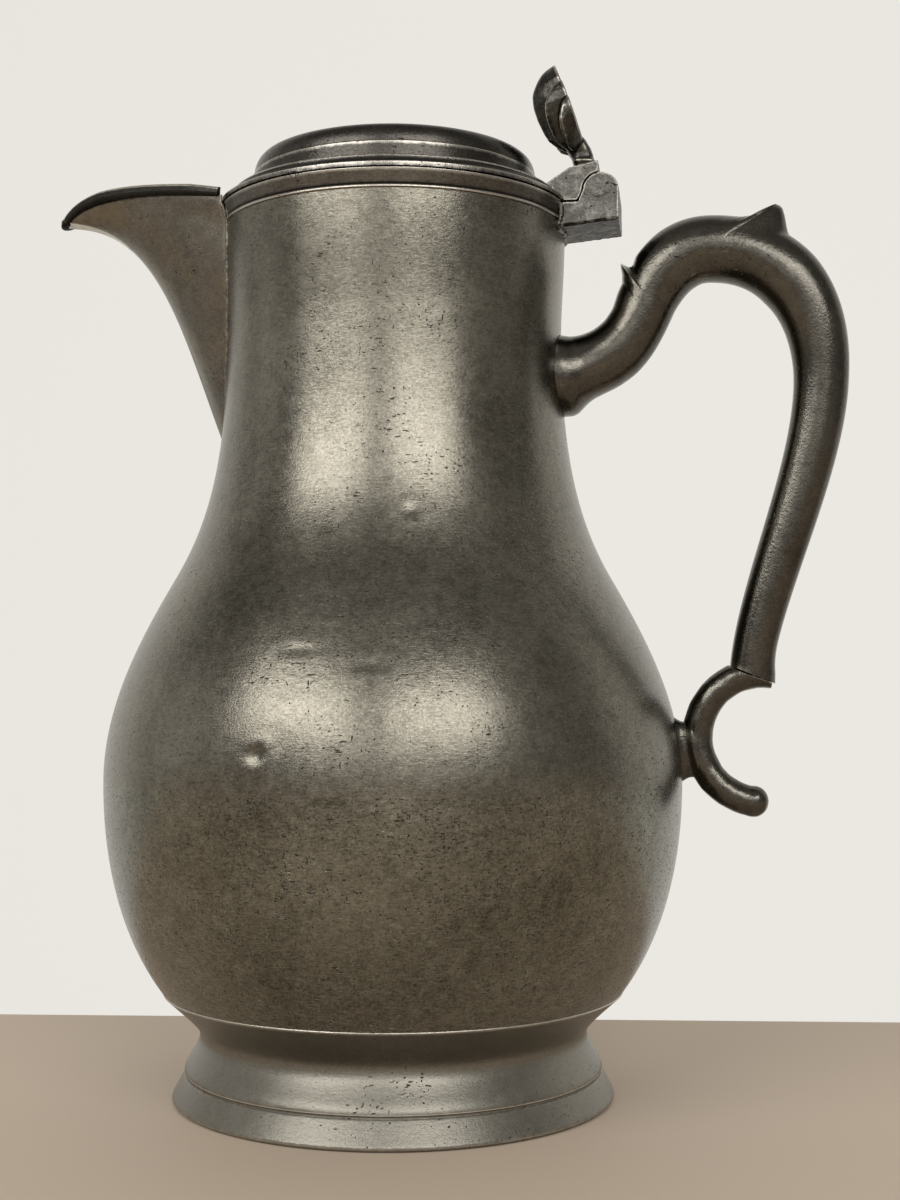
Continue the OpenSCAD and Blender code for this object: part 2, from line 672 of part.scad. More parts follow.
// Tail, with its joint on the plane that ends the handle
module tail_bar(grow) {
    translate([tail_x, 0, tail_z]) rotate([90, 0, 0]) rotate([0, 0, tail_start_turn])
        rotate_extrude(angle = tail_end_turn - tail_start_turn)
        translate([tail_bend_r, 0]) circle(r = tail_r + grow);
}
module handle_tail() {
    knob = [tail_x, tail_z] + tail_bend_r * [cos(tail_end_turn), sin(tail_end_turn)];
    block = 2 * tail_bend_r;
    color("#5d5750") {
        difference() {
            tail_bar(0);
            translate([tail_joint.x, 0, tail_joint.y]) rotate([0, tail_joint_tilt, 0])
                translate([-block / 2, -block / 2, -solder_gap]) cube(block);
        }
        translate([knob.x, 0, knob.y]) sphere(r = tail_knob_r);
    }
}
module handle_boss() {
    depth = boss_t + tail_r;
    // The pad is thin, so the round faces that it is fitted to are drawn finely
    $fn = 360;
    color("#625c55") difference() {
        translate([body_r(tail_z) - depth, 0, tail_z - boss_drop]) rotate([0, 90, 0])
            linear_extrude(height = 2 * depth) {
                square([boss_h - boss_w, boss_w], center = true);
                for (side = [-1, 1]) translate([side * (boss_h - boss_w) / 2, 0]) circle(d = boss_w);
            }
        vessel_space(solder_gap);
        tail_bar(solder_gap);
        translate([tail_x, 0, tail_z]) rotate([90, 0, 0])
            cylinder(h = boss_w + 2 * overrun, r = tail_bend_r, center = true);
    }
}

// Lid
drum_top_r = drum_r - drum_step - drum_round_w;
dome_z = round_z + drum_round_h;
// Pull of the hollow moulding and of the round, as shares of their width and height
cove_pull_shares = [0.5, 0.3];
round_pull_shares = [0.38, 0.62];
cove_curve = [
    [flange_r, lid_z + flange_t],
    [lerp(flange_r, cove_r, cove_pull_shares[0]), lid_z + flange_t],
    [cove_r, lerp(lid_z + flange_t, drum_z, cove_pull_shares[1])],
    [cove_r, drum_z]];
round_curve = [
    [drum_r - drum_step, round_z],
    [drum_r - drum_step, lerp(round_z, dome_z, round_pull_shares[1])],
    [lerp(drum_r - drum_step, drum_top_r, round_pull_shares[0]), dome_z],
    [drum_top_r, dome_z]];
dome_curve = [[drum_top_r, dome_z], [drum_top_r / 2, dome_z + dome_h], [0, dome_z + dome_h]];
function lid_outline() = concat(
    [[flange_r, lid_z]],
    trace(cove_curve),
    [[cove_r - drum_step, drum_z + drum_step], [drum_r, drum_z + drum_step], [drum_r, round_z]],
    trace(round_curve),
    after_first(trace(dome_curve)));

module lid_space(gap) {
    grown = [for (p = lid_outline()) [p.x == 0 ? 0 : p.x + gap, p.y + gap]];
    low_z = lid_z - overrun;
    rotate_extrude() polygon(concat(grown, [[0, low_z], [flange_r + gap, low_z]]));
}
module lid_cover() {
    inner_r = drum_r - drum_step - lid_wall;
    inner_z = round_z + drum_round_h - lid_wall;
    inside = [
        [0, inner_z],
        [inner_r - drum_round_w, inner_z],
        [inner_r, round_z],
        [inner_r, lid_z]];
    color("#736e68") rotate_extrude() polygon(concat(lid_outline(), inside));
}

bezel_r = body_r(rim_z - bezel_h) - wall - bezel_clear;
module lid_bezel() {
    color("#77726c") translate([0, 0, lid_z - bezel_h]) difference() {
        cylinder(h = bezel_h, r = bezel_r);
        translate([0, 0, -overrun]) cylinder(h = bezel_h + 2 * overrun, r = bezel_r - bezel_t);
    }
}

// Strap from the lid to the hinge
strap_top_z = hinge_z + ear_r + strap_t;
strap_end_x = hinge_x - strap_end;
strap_crest_x = hinge_x - strap_crest;
strap_crest_z = strap_top_z - strap_fall;
module strap_outline() {
    polygon([
        [drum_r, lid_z],
        [hinge_x - ear_r - ear_cheek - ear_clear, lid_z],
        [hinge_x - ear_r, hinge_z],
        [strap_end_x, hinge_z],
        [strap_end_x, strap_top_z],
        [strap_crest_x, strap_crest_z],
        [drum_r, lid_z + strap_foot_h]]);
}
module lid_leaf() {
    color("#77736d") difference() {
        union() {
            difference() {
                across(hinge_w) strap_outline();
                for (side = [-1, 1])
                    translate([0, side * (knuckle_w + hinge_w) / 2, 0])
                    across(hinge_w) ear_outline(ear_clear);
            }
            across(knuckle_w) translate([hinge_x, hinge_z]) circle(r = ear_r);
        }
        pin_bore(pin_clear);
        lid_space(solder_gap);
    }
}

// Thumbpiece: level rings up the shell, with a flat back and a fluted front
thumb_x = strap_end_x - thumb_inset;
strap_slope = strap_fall / (strap_end_x - strap_crest_x);
function strap_z(x) = strap_top_z - (strap_end_x - x) * strap_slope + solder_gap;
// Height, half width, front and back of the shell, as shares of its height, width and reach
thumb_shares = [
    [0, 0.16, 0.33, 0], [0.12, 0.15, 0.37, 0.02], [0.165, 0.22, 0.47, 0.06], [0.2, 0.36, 0.58, 0.12],
    [0.25, 0.46, 0.69, 0.2], [0.33, 0.5, 0.79, 0.28], [0.4, 0.485, 0.86, 0.33], [0.44, 0.43, 0.89, 0.36],
    [0.48, 0.455, 0.92, 0.38], [0.56, 0.47, 0.975, 0.4], [0.63, 0.41, 0.995, 0.46], [0.69, 0.29, 1, 0.5],
    [0.75, 0.29, 0.99, 0.54], [0.82, 0.27, 0.95, 0.56], [0.9, 0.21, 0.88, 0.58], [0.96, 0.13, 0.8, 0.6],
    [1, 0.03, 0.68, 0.62]];
// Height of the point that the flutes spread from, as a share of the thumbpiece's height
flute_start_share = 0.18;
// Directions of the flutes between the middle, second and third lobes, from upright
flute_turns = [0, 25, 53, 90];
// How full the shell's front is, and how soon the flutes fade at its sides
shell_round = 0.55;
flute_fade = 2;
thumb_rings = 40;
thumb_front_points = 24;
thumb_back_points = 8;

// How deep the flutes cut at a place: none in the middle of a lobe, and all of it between two lobes
function flute(y, z) =
    let (
        a = min(abs(atan2(y, max(z, solder_gap))), flute_turns[3]),
        i = a < flute_turns[1] ? 0 : a < flute_turns[2] ? 1 : 2,
        low = i == 0 ? -flute_turns[1] : flute_turns[i],
        t = (a - low) / (flute_turns[i + 1] - low))
    z <= 0 ? 0 : 1 - sin(180 * t);
function thumb_ring(h) =
    let (
        half = looked_up(thumb_shares, h, 1) * thumb_w,
        front = looked_up(thumb_shares, h, 2) * thumb_reach,
        rear = looked_up(thumb_shares, h, 3) * thumb_reach,
        z = strap_z(thumb_x) + h * thumb_h,
        up = (h - flute_start_share) * thumb_h)
    concat(
        [for (k = [0 : thumb_front_points])
            let (
                y = half * (2 * k / thumb_front_points - 1),
                swell = pow(max(0, 1 - pow(y / half, 2)), shell_round),
                cut = min(1, swell * flute_fade) * flute_depth * flute(y, up),
                x = thumb_x - rear - (front - rear - cut) * swell)
            [x, y, h == 0 ? strap_z(x) : z]],
        [for (k = [1 : thumb_back_points - 1])
            let (y = half * (1 - 2 * k / thumb_back_points), x = thumb_x - rear + solder_gap)
            [x, y, h == 0 ? strap_z(x) : z]]);

module thumbpiece() {
    rings = [for (i = [0 : thumb_rings]) thumb_ring(i / thumb_rings)];
    low_x = thumb_x - thumb_shares[0][2] * thumb_reach / 2;
    tip = thumb_shares[len(thumb_shares) - 1];
    top = [thumb_x - (tip[2] + tip[3]) / 2 * thumb_reach, 0, strap_z(thumb_x) + thumb_h];
    color("#7d7973") skin(rings, [low_x, 0, strap_z(low_x)], top);
}

foot_ring();
floor_disc();
belly_lower();
body_upper();
rim_band();
spout();
spout_lip();
hinge_bracket();
hinge_pin();
handle_scroll();
handle_tail();
handle_boss();
lid_cover();
lid_bezel();
lid_leaf();
thumbpiece();
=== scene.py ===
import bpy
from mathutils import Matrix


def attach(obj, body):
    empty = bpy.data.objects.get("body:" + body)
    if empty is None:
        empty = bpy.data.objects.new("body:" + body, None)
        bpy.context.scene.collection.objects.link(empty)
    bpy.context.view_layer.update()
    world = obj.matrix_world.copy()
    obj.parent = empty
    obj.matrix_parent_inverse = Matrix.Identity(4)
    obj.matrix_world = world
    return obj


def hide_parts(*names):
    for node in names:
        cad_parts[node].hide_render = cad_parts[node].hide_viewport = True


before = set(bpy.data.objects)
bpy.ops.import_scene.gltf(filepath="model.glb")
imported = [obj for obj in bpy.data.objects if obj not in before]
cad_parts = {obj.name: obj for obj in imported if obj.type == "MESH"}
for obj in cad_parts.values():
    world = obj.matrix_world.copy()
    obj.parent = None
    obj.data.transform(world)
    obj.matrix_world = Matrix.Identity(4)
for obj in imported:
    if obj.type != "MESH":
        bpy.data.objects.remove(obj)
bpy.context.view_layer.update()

import math

import bmesh
import bpy
import numpy as np
from mathutils import Matrix, Vector, noise

# Foot: a spreading ring, cast in pewter and turned on a lathe, hollow underneath. The vessel's floor is
# let into its top, where it is soldered to the belly. It is painted paler than the rest as a painted
# reflection of its bright surroundings.
mm = 0.001
merge_gap = 0.002
foot_r, foot_edge_z, foot_rest_w = 72.5, 1.5, 5
foot_band_r, foot_band_z = 68.5, 8.5
foot_waist_r, foot_waist_z, foot_wall = 63.1, 16, 2.8
foot_z, joint_r, floor_r, floor_t, ledge_w = 35.2, 75.7, 71.5, 2.4, 4.5
turned_start_r, turned_segments, sway_mm = 50, 320, 75


def curve(pulls, steps=18):
    """Points on the smooth curve from the first to the last of the pull points."""
    points = []
    for i in range(steps + 1):
        row = [np.array(p, float) for p in pulls]
        while len(row) > 1:
            row = [a + (b - a) * i / steps for a, b in zip(row, row[1:])]
        points.append(row[0])
    return points


def eased(points, ease, closed=True, sharp=0.35, most=0.45, steps=4):
    """The same line with every corner rounded off, starting the given distance before it."""
    points = [np.array(p, float) for p in points]
    smooth = []
    for i, p in enumerate(points):
        if not closed and i in (0, len(points) - 1):
            smooth.append(p)
            continue
        a, b = points[i - 1] - p, points[(i + 1) % len(points)] - p
        la, lb = np.linalg.norm(a), np.linalg.norm(b)
        bend = math.pi - math.acos(np.clip(a @ b / (la * lb), -1, 1))
        if bend < sharp:
            smooth.append(p)
            continue
        a, b = a / la * min(ease, la * most), b / lb * min(ease, lb * most)
        smooth += curve([p + a, p, p + b], steps)
    return smooth


def spaced(points, gap, closed=True):
    """The same line with points added wherever two lie further apart than the gap."""
    result = []
    ends = points[1:] + points[:1] if closed else points[1:]
    for a, b in zip(points, ends):
        count = max(1, math.ceil(np.linalg.norm(b - a) / gap))
        result += [a + (b - a) * k / count for k in range(count)]
    return result if closed else result + [points[-1]]


def add(tree, kind, inputs=None, **settings):
    """Adds a node: settings are its own, and inputs gives each socket a value, another node's socket, or
    the node whose first output it takes."""
    node = tree.nodes.new(kind)
    for name, value in settings.items():
        setattr(node, name, value)
    for socket, value in (inputs or {}).items():
        if isinstance(value, bpy.types.Node):
            value = value.outputs[0]
        if isinstance(value, bpy.types.NodeSocket):
            tree.links.new(value, node.inputs[socket])
        else:
            node.inputs[socket].default_value = value
    return node


def rgb(code):
    """An sRGB hex colour as linear red, green, blue and alpha."""
    parts = [int(code[i:i + 2], 16) / 255 for i in (1, 3, 5)]
    return [p / 12.92 if p <= 0.04045 else ((p + 0.055) / 1.055) ** 2.4 for p in parts] + [1.0]


def aged_pewter(name, dark, pale, worn, rough, pits, dashes, gouges, streaks=1.0, cloud_mm=45, grain=0.3,
                oxide=0.0, stain=0.0, broken=0.35):
    """Old pewter: a dark grey satin skin in clouds of two tones, faintly streaked by the lathe, with pits,
    short dashes and gouges, bright metal on rubbed edges, and brown grime in the corners."""
    grime_and_shade, stain_tone, oxide_tone = "#231e18", "#857a62", "#a9a6a0"
    # The real grain and streaks are a few times finer than these, which are drawn coarser so that they show
    mottle_mm, fine_mm, streak_mm = 3.5, 0.8, (2.4, 2.4, 0.42)
    crowd_mm, wander_mm, wander_by_mm, chip_mm, swell_mm, spot_mm = 22, 2.5, 1.6, 2.2, 16, 14
    tone_spread, grime_rough, oxide_rough, bump_mm = 0.19, 0.7, 0.62, 0.14
    material = bpy.data.materials.new(name)
    material.use_nodes = True
    tree = material.node_tree
    tree.nodes.clear()
    place = add(tree, "ShaderNodeTexCoord").outputs["Object"]
    wear_and_painted_light = add(tree, "ShaderNodeAttribute", attribute_name="wear_and_painted_light").outputs["Fac"]
    clouds, mottle, fine, crowd, chips, swell = [
        add(tree, "ShaderNodeTexNoise", {
            "Vector": place, "Scale": 1 / (size * mm), "Detail": detail, "Roughness": uneven})
        for size, detail, uneven in (
            (cloud_mm, 5.0, 0.62), (mottle_mm, 4.0, 0.7), (fine_mm, 3.0, 0.7), (crowd_mm, 2.0, 0.5),
            (chip_mm, 3.0, 0.6), (swell_mm, 2.0, 0.5))]

    # Streaks of the lathe lie level, so their cells are wide and low
    level = add(tree, "ShaderNodeMapping", {"Vector": place, "Scale": [1 / (s * mm) for s in streak_mm]})
    streak = add(tree, "ShaderNodeTexNoise", {
        "Vector": level, "Scale": 1.0, "Detail": 3.0, "Roughness": 0.65})
    layers = ((clouds, 0.5), (mottle, 0.35), (streak, 0.4 * streaks), (fine, 0.55))
    middle = sum(part for _, part in layers) / 2
    share = 0.0
    for layer, part in layers:
        share = add(tree, "ShaderNodeMath", {0: layer, 1: part, 2: share}, operation="MULTIPLY_ADD")
    share = add(tree, "ShaderNodeMapRange", {0: share, 1: middle - tone_spread, 2: middle + tone_spread})
    tone = add(tree, "ShaderNodeMix", {0: share, 6: rgb(dark), 7: rgb(pale)}, data_type="RGBA").outputs[2]

    # Marks: cells of the mark's own size, of which the random share that is asked for holds a mark. They
    # stand closer together in some patches than in others, and none is quite straight
    crowd = add(tree, "ShaderNodeMath", {0: crowd, 1: 0.5, 2: -0.25}, operation="MULTIPLY_ADD")
    wander = add(tree, "ShaderNodeTexNoise", {
        "Vector": place, "Scale": 1 / (wander_mm * mm), "Detail": 1.0}).outputs["Color"]
    wander = add(tree, "ShaderNodeVectorMath", {0: wander, 1: (0.5, 0.5, 0.5)}, operation="SUBTRACT")
    wander = add(tree, "ShaderNodeVectorMath", {0: wander, "Scale": wander_by_mm * mm}, operation="SCALE")
    bent = add(tree, "ShaderNodeVectorMath", {0: place, 1: wander}, operation="ADD")

    def marks(*kinds):
        """The deepest of several kinds of mark, each with its cell in mm, turn, share and width."""
        deepest = None
        for size, turned_by, share, width in kinds:
            cells = add(tree, "ShaderNodeMapping", {
                "Vector": bent, "Rotation": turned_by, "Scale": [1 / (s * mm) for s in size]})
            cells = add(tree, "ShaderNodeTexVoronoi", {"Vector": cells, "Scale": 1.0, "Randomness": 1.0})
            luck = add(tree, "ShaderNodeSeparateColor", {0: cells.outputs["Color"]})
            luck = add(tree, "ShaderNodeMath", {0: luck, 1: crowd}, operation="ADD")
            reach = add(tree, "ShaderNodeMapRange", {0: luck, 1: 1 - share, 2: 1.1, 3: 0.0, 4: width})
            half = add(tree, "ShaderNodeMath", {0: reach, 1: 0.5}, operation="MULTIPLY")
            mark = add(tree, "ShaderNodeMapRange", {
                0: cells.outputs["Distance"], 1: half, 2: reach, 3: 1.0, 4: 0.0},
                interpolation_type="SMOOTHSTEP")
            deepest = mark if deepest is None else add(
                tree, "ShaderNodeMath", {0: deepest, 1: mark}, operation="MAXIMUM")
        return deepest

    hole = marks(
        ((1.2, 1.2, 1.1), (0, 0, 0), 0.5 * pits, 0.36),
        ((2.8, 2.8, 0.62), (0.08, 0.05, 0), 0.3 * dashes, 0.38),
        ((6.0, 0.8, 0.8), (0.2, 0.9, 0.3), 0.22 * gouges, 0.42),
        ((0.8, 6.0, 0.8), (0.8, 0.2, 0.3), 0.2 * gouges, 0.42),
        ((0.8, 0.8, 4.5), (0.3, 0.25, 0), 0.2 * gouges, 0.42),
        ((5.0, 0.8, 0.8), (0.3, -0.7, 0.2), 0.22 * gouges, 0.42))
    scratch = marks(
        ((30, 0.7, 0.7), (0.2, 0.45, 0.3), 0.16 * gouges, 0.3),
        ((0.7, 24, 0.7), (0.5, 0.1, 0.2), 0.14 * gouges, 0.3),
        ((22, 0.7, 0.7), (0.1, -0.3, 0.2), 0.14 * gouges, 0.3))

    # Edges that are rubbed bright, broken up by a fine noise, and corners that hold grime. The same colours
    # also draw the painted shade and painted highlights that the spout, its lip and the hinge bracket set in
    # the attribute
    chips = add(tree, "ShaderNodeMath", {0: chips, 1: 0.5}, operation="SUBTRACT")
    chips = add(tree, "ShaderNodeMath", {0: chips, 1: broken, 2: wear_and_painted_light}, operation="MULTIPLY_ADD")
    rub_and_sheen = add(tree, "ShaderNodeMapRange", {0: chips, 1: 0.12, 2: 0.55})
    caked_and_shade = add(tree, "ShaderNodeMapRange", {0: chips, 1: -0.1, 2: -0.5})
    bright = add(tree, "ShaderNodeMath", {0: scratch, 1: 0.25}, operation="MULTIPLY")
    for part in (rub_and_sheen, bright):
        tone = add(tree, "ShaderNodeMix", {0: part, 6: tone, 7: rgb(worn)}, data_type="RGBA").outputs[2]
    if stain:
        spots = add(tree, "ShaderNodeTexNoise", {
            "Vector": place, "Scale": 1 / (spot_mm * mm), "Detail": 4.0, "Roughness": 0.65})
        spots = add(tree, "ShaderNodeMapRange", {0: spots, 1: 0.5, 2: 0.72, 4: stain})
        tone = add(tree, "ShaderNodeMix", {
            0: spots, 6: tone, 7: rgb(stain_tone)}, data_type="RGBA").outputs[2]
    dirt_and_shade = add(tree, "ShaderNodeMath", {0: hole, 1: 0.72}, operation="MULTIPLY")
    dirt_and_shade = add(tree, "ShaderNodeMath", {0: dirt_and_shade, 1: caked_and_shade}, operation="MAXIMUM")
    tone = add(tree, "ShaderNodeMix", {0: dirt_and_shade, 6: tone, 7: rgb(grime_and_shade)}, data_type="RGBA").outputs[2]

    least = rough - 0.04 - 0.04 * streaks
    gloss = add(tree, "ShaderNodeMapRange", {0: clouds, 1: 0.3, 2: 0.7, 3: least, 4: least + 0.05})
    for layer, part in ((mottle, 0.1), (streak, 0.08 * streaks)):
        gloss = add(tree, "ShaderNodeMath", {0: layer, 1: part, 2: gloss}, operation="MULTIPLY_ADD")
    gloss = add(tree, "ShaderNodeMix", {0: dirt_and_shade, 2: gloss, 3: grime_rough}, data_type="FLOAT")
    if oxide:
        crust = add(tree, "ShaderNodeTexNoise", {
            "Vector": place, "Scale": 1 / (mottle_mm * mm), "Detail": 6.0, "Roughness": 0.75})
        crust = add(tree, "ShaderNodeMapRange", {0: crust, 1: 0.5, 2: 0.66, 4: oxide})
        tone = add(tree, "ShaderNodeMix", {
            0: crust, 6: tone, 7: rgb(oxide_tone)}, data_type="RGBA").outputs[2]
        gloss = add(tree, "ShaderNodeMix", {0: crust, 2: gloss, 3: oxide_rough}, data_type="FLOAT")

    height = 0.0
    for layer, deep in ((fine, 0.12 + grain), (mottle, grain), (streak, 0.22 * streaks), (swell, 0.8),
                        (hole, -1.6), (scratch, -0.5)):
        height = add(tree, "ShaderNodeMath", {0: layer, 1: deep, 2: height}, operation="MULTIPLY_ADD")
    bump = add(tree, "ShaderNodeBump", {"Strength": 1.0, "Distance": bump_mm * mm, "Height": height})
    skin = add(tree, "ShaderNodeBsdfPrincipled", {
        "Base Color": tone, "Metallic": 1.0, "Roughness": gloss, "Normal": bump})
    add(tree, "ShaderNodeOutputMaterial", {"Surface": skin})
    return material


def new_tree(name, result, **inputs):
    """A new geometry tree with one result and the named inputs, and the sockets that give these inputs."""
    tree = bpy.data.node_groups.new(name, "GeometryNodeTree")
    tree.interface.new_socket(result, in_out="OUTPUT", socket_type="NodeSocketGeometry")
    for socket, kind in inputs.items():
        tree.interface.new_socket(socket, in_out="INPUT", socket_type="NodeSocket" + kind)
    return tree, add(tree, "NodeGroupInput").outputs


# A turned shell is its profile carried round the axis, a little out of true as hand-finished work is
turned, given = new_tree(
    "turned shell", "Shell", Profile="Geometry", Segments="Int", Start="Float", Sweep="Float", Sway="Float",
    Finish="Material")
line = add(turned, "GeometryNodeMeshToCurve", {"Mesh": given["Profile"]})
full_turn = add(turned, "GeometryNodeCurvePrimitiveCircle", {
    "Resolution": given["Segments"], "Radius": turned_start_r * mm}, mode="RADIUS")
part_turn = add(turned, "GeometryNodeCurveArc", {
    "Resolution": given["Segments"], "Radius": turned_start_r * mm, "Start Angle": given["Start"],
    "Sweep Angle": given["Sweep"]}, mode="RADIUS")
is_part = add(turned, "FunctionNodeCompare", {
    0: given["Sweep"], 1: 0.0}, data_type="FLOAT", operation="GREATER_THAN")
path = add(turned, "GeometryNodeSwitch", {
    "Switch": is_part, "False": full_turn, "True": part_turn}, input_type="GEOMETRY")
shell = add(turned, "GeometryNodeCurveToMesh", {"Curve": path, "Profile Curve": line, "Fill Caps": True})
shell = add(turned, "GeometryNodeMergeByDistance", {"Geometry": shell, "Distance": merge_gap * mm})
where = add(turned, "GeometryNodeInputPosition")
lump = add(turned, "ShaderNodeTexNoise", {"Vector": where, "Scale": 1 / (sway_mm * mm), "Detail": 1.0})
lump = add(turned, "ShaderNodeMath", {0: lump, 1: 0.5}, operation="SUBTRACT")
lump = add(turned, "ShaderNodeMath", {0: lump, 1: given["Sway"]}, operation="MULTIPLY")
outward = add(turned, "ShaderNodeVectorMath", {0: where, 1: (1, 1, 0)}, operation="MULTIPLY")
outward = add(turned, "ShaderNodeVectorMath", {0: outward}, operation="NORMALIZE")
shift = add(turned, "ShaderNodeVectorMath", {0: outward, "Scale": lump}, operation="SCALE")
shell = add(turned, "GeometryNodeSetPosition", {"Geometry": shell, "Offset": shift})
shell = add(turned, "GeometryNodeRealizeInstances", {"Geometry": shell})
shell = add(turned, "GeometryNodeSetMaterial", {"Geometry": shell, "Material": given["Finish"]})
add(turned, "NodeGroupOutput", {"Shell": shell})


def keep_evaluated(obj):
    """Turns an object's modifiers into its plain mesh."""
    mesh = bpy.data.meshes.new_from_object(obj.evaluated_get(bpy.context.evaluated_depsgraph_get()))
    obj.modifiers.clear()
    obj.data = mesh


def settle(obj, tree, values):
    """Runs a node tree on an object with the named inputs, and keeps the result as its plain mesh."""
    make = obj.modifiers.new("make", "NODES")
    make.node_group = tree
    for item in tree.interface.items_tree:
        if item.item_type == "SOCKET" and item.in_out == "INPUT" and item.name in values:
            make[item.identifier] = values[item.name]
    keep_evaluated(obj)


def new_piece(name, points, faces=(), edges=()):
    """A new object with its mesh given in millimetres."""
    mesh = bpy.data.meshes.new(name)
    mesh.from_pydata([tuple(float(c) * mm for c in p) for p in points], list(edges), list(faces))
    obj = bpy.data.objects.new(name, mesh)
    bpy.context.scene.collection.objects.link(obj)
    return obj


def turn(name, profile, finish, sway=0.3, closed=True, arc=(0, 0)):
    """A turned piece from its profile of radius and height."""
    count = len(profile)
    links = [(i, i + 1) for i in range(count - 1)] + ([(count - 1, 0)] if closed else [])
    obj = new_piece(name, [(p[0] - turned_start_r, -p[1], 0) for p in profile], edges=links)
    settle(obj, turned, {
        "Segments": turned_segments, "Start": math.radians(arc[0]), "Sweep": math.radians(arc[1]),
        "Sway": sway * mm, "Finish": finish})
    return obj


def clean(obj):
    """Merges doubled points and turns every face outward."""
    form = bmesh.new()
    form.from_mesh(obj.data)
    bmesh.ops.remove_doubles(form, verts=form.verts, dist=merge_gap * mm)
    bmesh.ops.recalc_face_normals(form, faces=form.faces)
    form.to_mesh(obj.data)
    form.free()


def finish_piece(obj, body, nodes, crisp=40, blur=2, calm_z=(), worn=1.0, held=1.0):
    """Outward faces, smooth shading with crisp edges, wear on its edges and grime in its corners, from how
    sharply the skin bends there, and the piece's place in the frame. Heights in calm_z stay unworn."""
    most, calm_h, calm_core = 1.5, 1.5, 0.4
    clean(obj)
    mesh = obj.data
    mesh.shade_smooth()
    mesh.set_sharp_from_angle(angle=math.radians(crisp))
    count = len(mesh.vertices)
    at, normal = np.empty(count * 3, np.float32), np.empty(count * 3, np.float32)
    ends = np.empty(len(mesh.edges) * 2, np.int32)
    mesh.vertices.foreach_get("co", at)
    mesh.vertices.foreach_get("normal", normal)
    mesh.edges.foreach_get("vertices", ends)
    at, normal, ends = at.reshape(-1, 3), normal.reshape(-1, 3), ends.reshape(-1, 2)
    run = at[ends[:, 1]] - at[ends[:, 0]]
    length = np.linalg.norm(run, axis=1) + 1e-9
    bend = np.einsum("ij,ij->i", normal[ends[:, 1]] - normal[ends[:, 0]], run) / length ** 2
    wear_and_painted_light, meets = np.zeros(count), np.zeros(count)
    for side in (0, 1):
        np.add.at(wear_and_painted_light, ends[:, side], bend)
        np.add.at(meets, ends[:, side], 1)
    meets = np.maximum(meets, 1)
    wear_and_painted_light = np.clip(wear_and_painted_light / meets * mm, -most, most)
    for _ in range(blur):
        spread = np.zeros(count)
        np.add.at(spread, ends[:, 0], wear_and_painted_light[ends[:, 1]])
        np.add.at(spread, ends[:, 1], wear_and_painted_light[ends[:, 0]])
        wear_and_painted_light = (wear_and_painted_light + spread / meets) / 2
    wear_and_painted_light *= np.where(wear_and_painted_light > 0, worn, held)
    for z in calm_z:
        wear_and_painted_light *= np.clip(np.abs(at[:, 2] / mm - z) / calm_h - calm_core, 0, 1)
    # Real wear and grime here; the spout, its lip and the hinge bracket later add painted shade and painted
    # highlights
    mesh.attributes.new("wear_and_painted_light", "FLOAT", "POINT").data.foreach_set("value", wear_and_painted_light.astype(np.float32))
    if nodes:
        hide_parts(*nodes)
    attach(obj, body)


# Satin, painted the palest on the flagon as a painted reflection of bright surroundings, with few marks
foot_finish = aged_pewter(
    "aged pewter, foot", "#75726a", "#8b887f", "#d6d2c9", rough=0.35, pits=0.35, dashes=0.25, gouges=0.2)
foot_outside = (
    eased([(foot_r - 1, 0), (foot_r, 0.8), (foot_r, foot_edge_z), (foot_band_r + 0.25, foot_band_z - 0.1),
           (foot_band_r - 0.1, foot_band_z + 0.2), (foot_band_r - 0.1, foot_band_z + 0.9),
           (foot_band_r + 0.15, foot_band_z + 1.1)], 0.4, False)
    + curve([(foot_band_r + 0.15, foot_band_z + 1.2), (foot_band_r + 0.1, 11.2), (66.9, 13.6), (65.9, 15.4)])
    + curve([(65.9, 15.4), (64.6, 17.7), (63.5, 19.6), (63.8, 22.2)])[1:]
    + curve([(63.8, 22.2), (64.2, 24.6), (70.2, 29.8), (joint_r, foot_z - 0.5)])[1:]
    + [np.array((joint_r + 0.12, foot_z - 0.25)), np.array((joint_r, foot_z - 0.05))])
foot_inside = (
    [np.array(p) for p in [(floor_r + 0.1, foot_z - 0.1), (floor_r + 0.1, foot_z - floor_t),
                           (floor_r - ledge_w, foot_z - floor_t), (floor_r - ledge_w, foot_z - 2 * floor_t)]]
    + curve([(floor_r - ledge_w, foot_z - 2 * floor_t), (64.0, 25.9), (foot_waist_r - foot_wall, 22.1),
             (foot_waist_r - foot_wall, foot_waist_z)])[1:]
    + [np.array((foot_r - foot_rest_w, 0))])
foot = turn("foot", spaced(foot_outside + foot_inside, 1.5), foot_finish)
finish_piece(foot, "vessel", ["foot_ring"], worn=0.45, held=0.25, blur=1)

# Floor: a flat disc of pewter let into the top of the foot and soldered there. It was never polished, and
# what was kept in the flagon has left it an even, dull grey.
inside_finish = aged_pewter(
    "dull pewter, inside", "#4f4b46", "#6a665f", "#8f8b84", rough=0.5, pits=0.6, dashes=0.3, gouges=0.3)
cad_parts["floor_disc"].material_slots[0].material = inside_finish

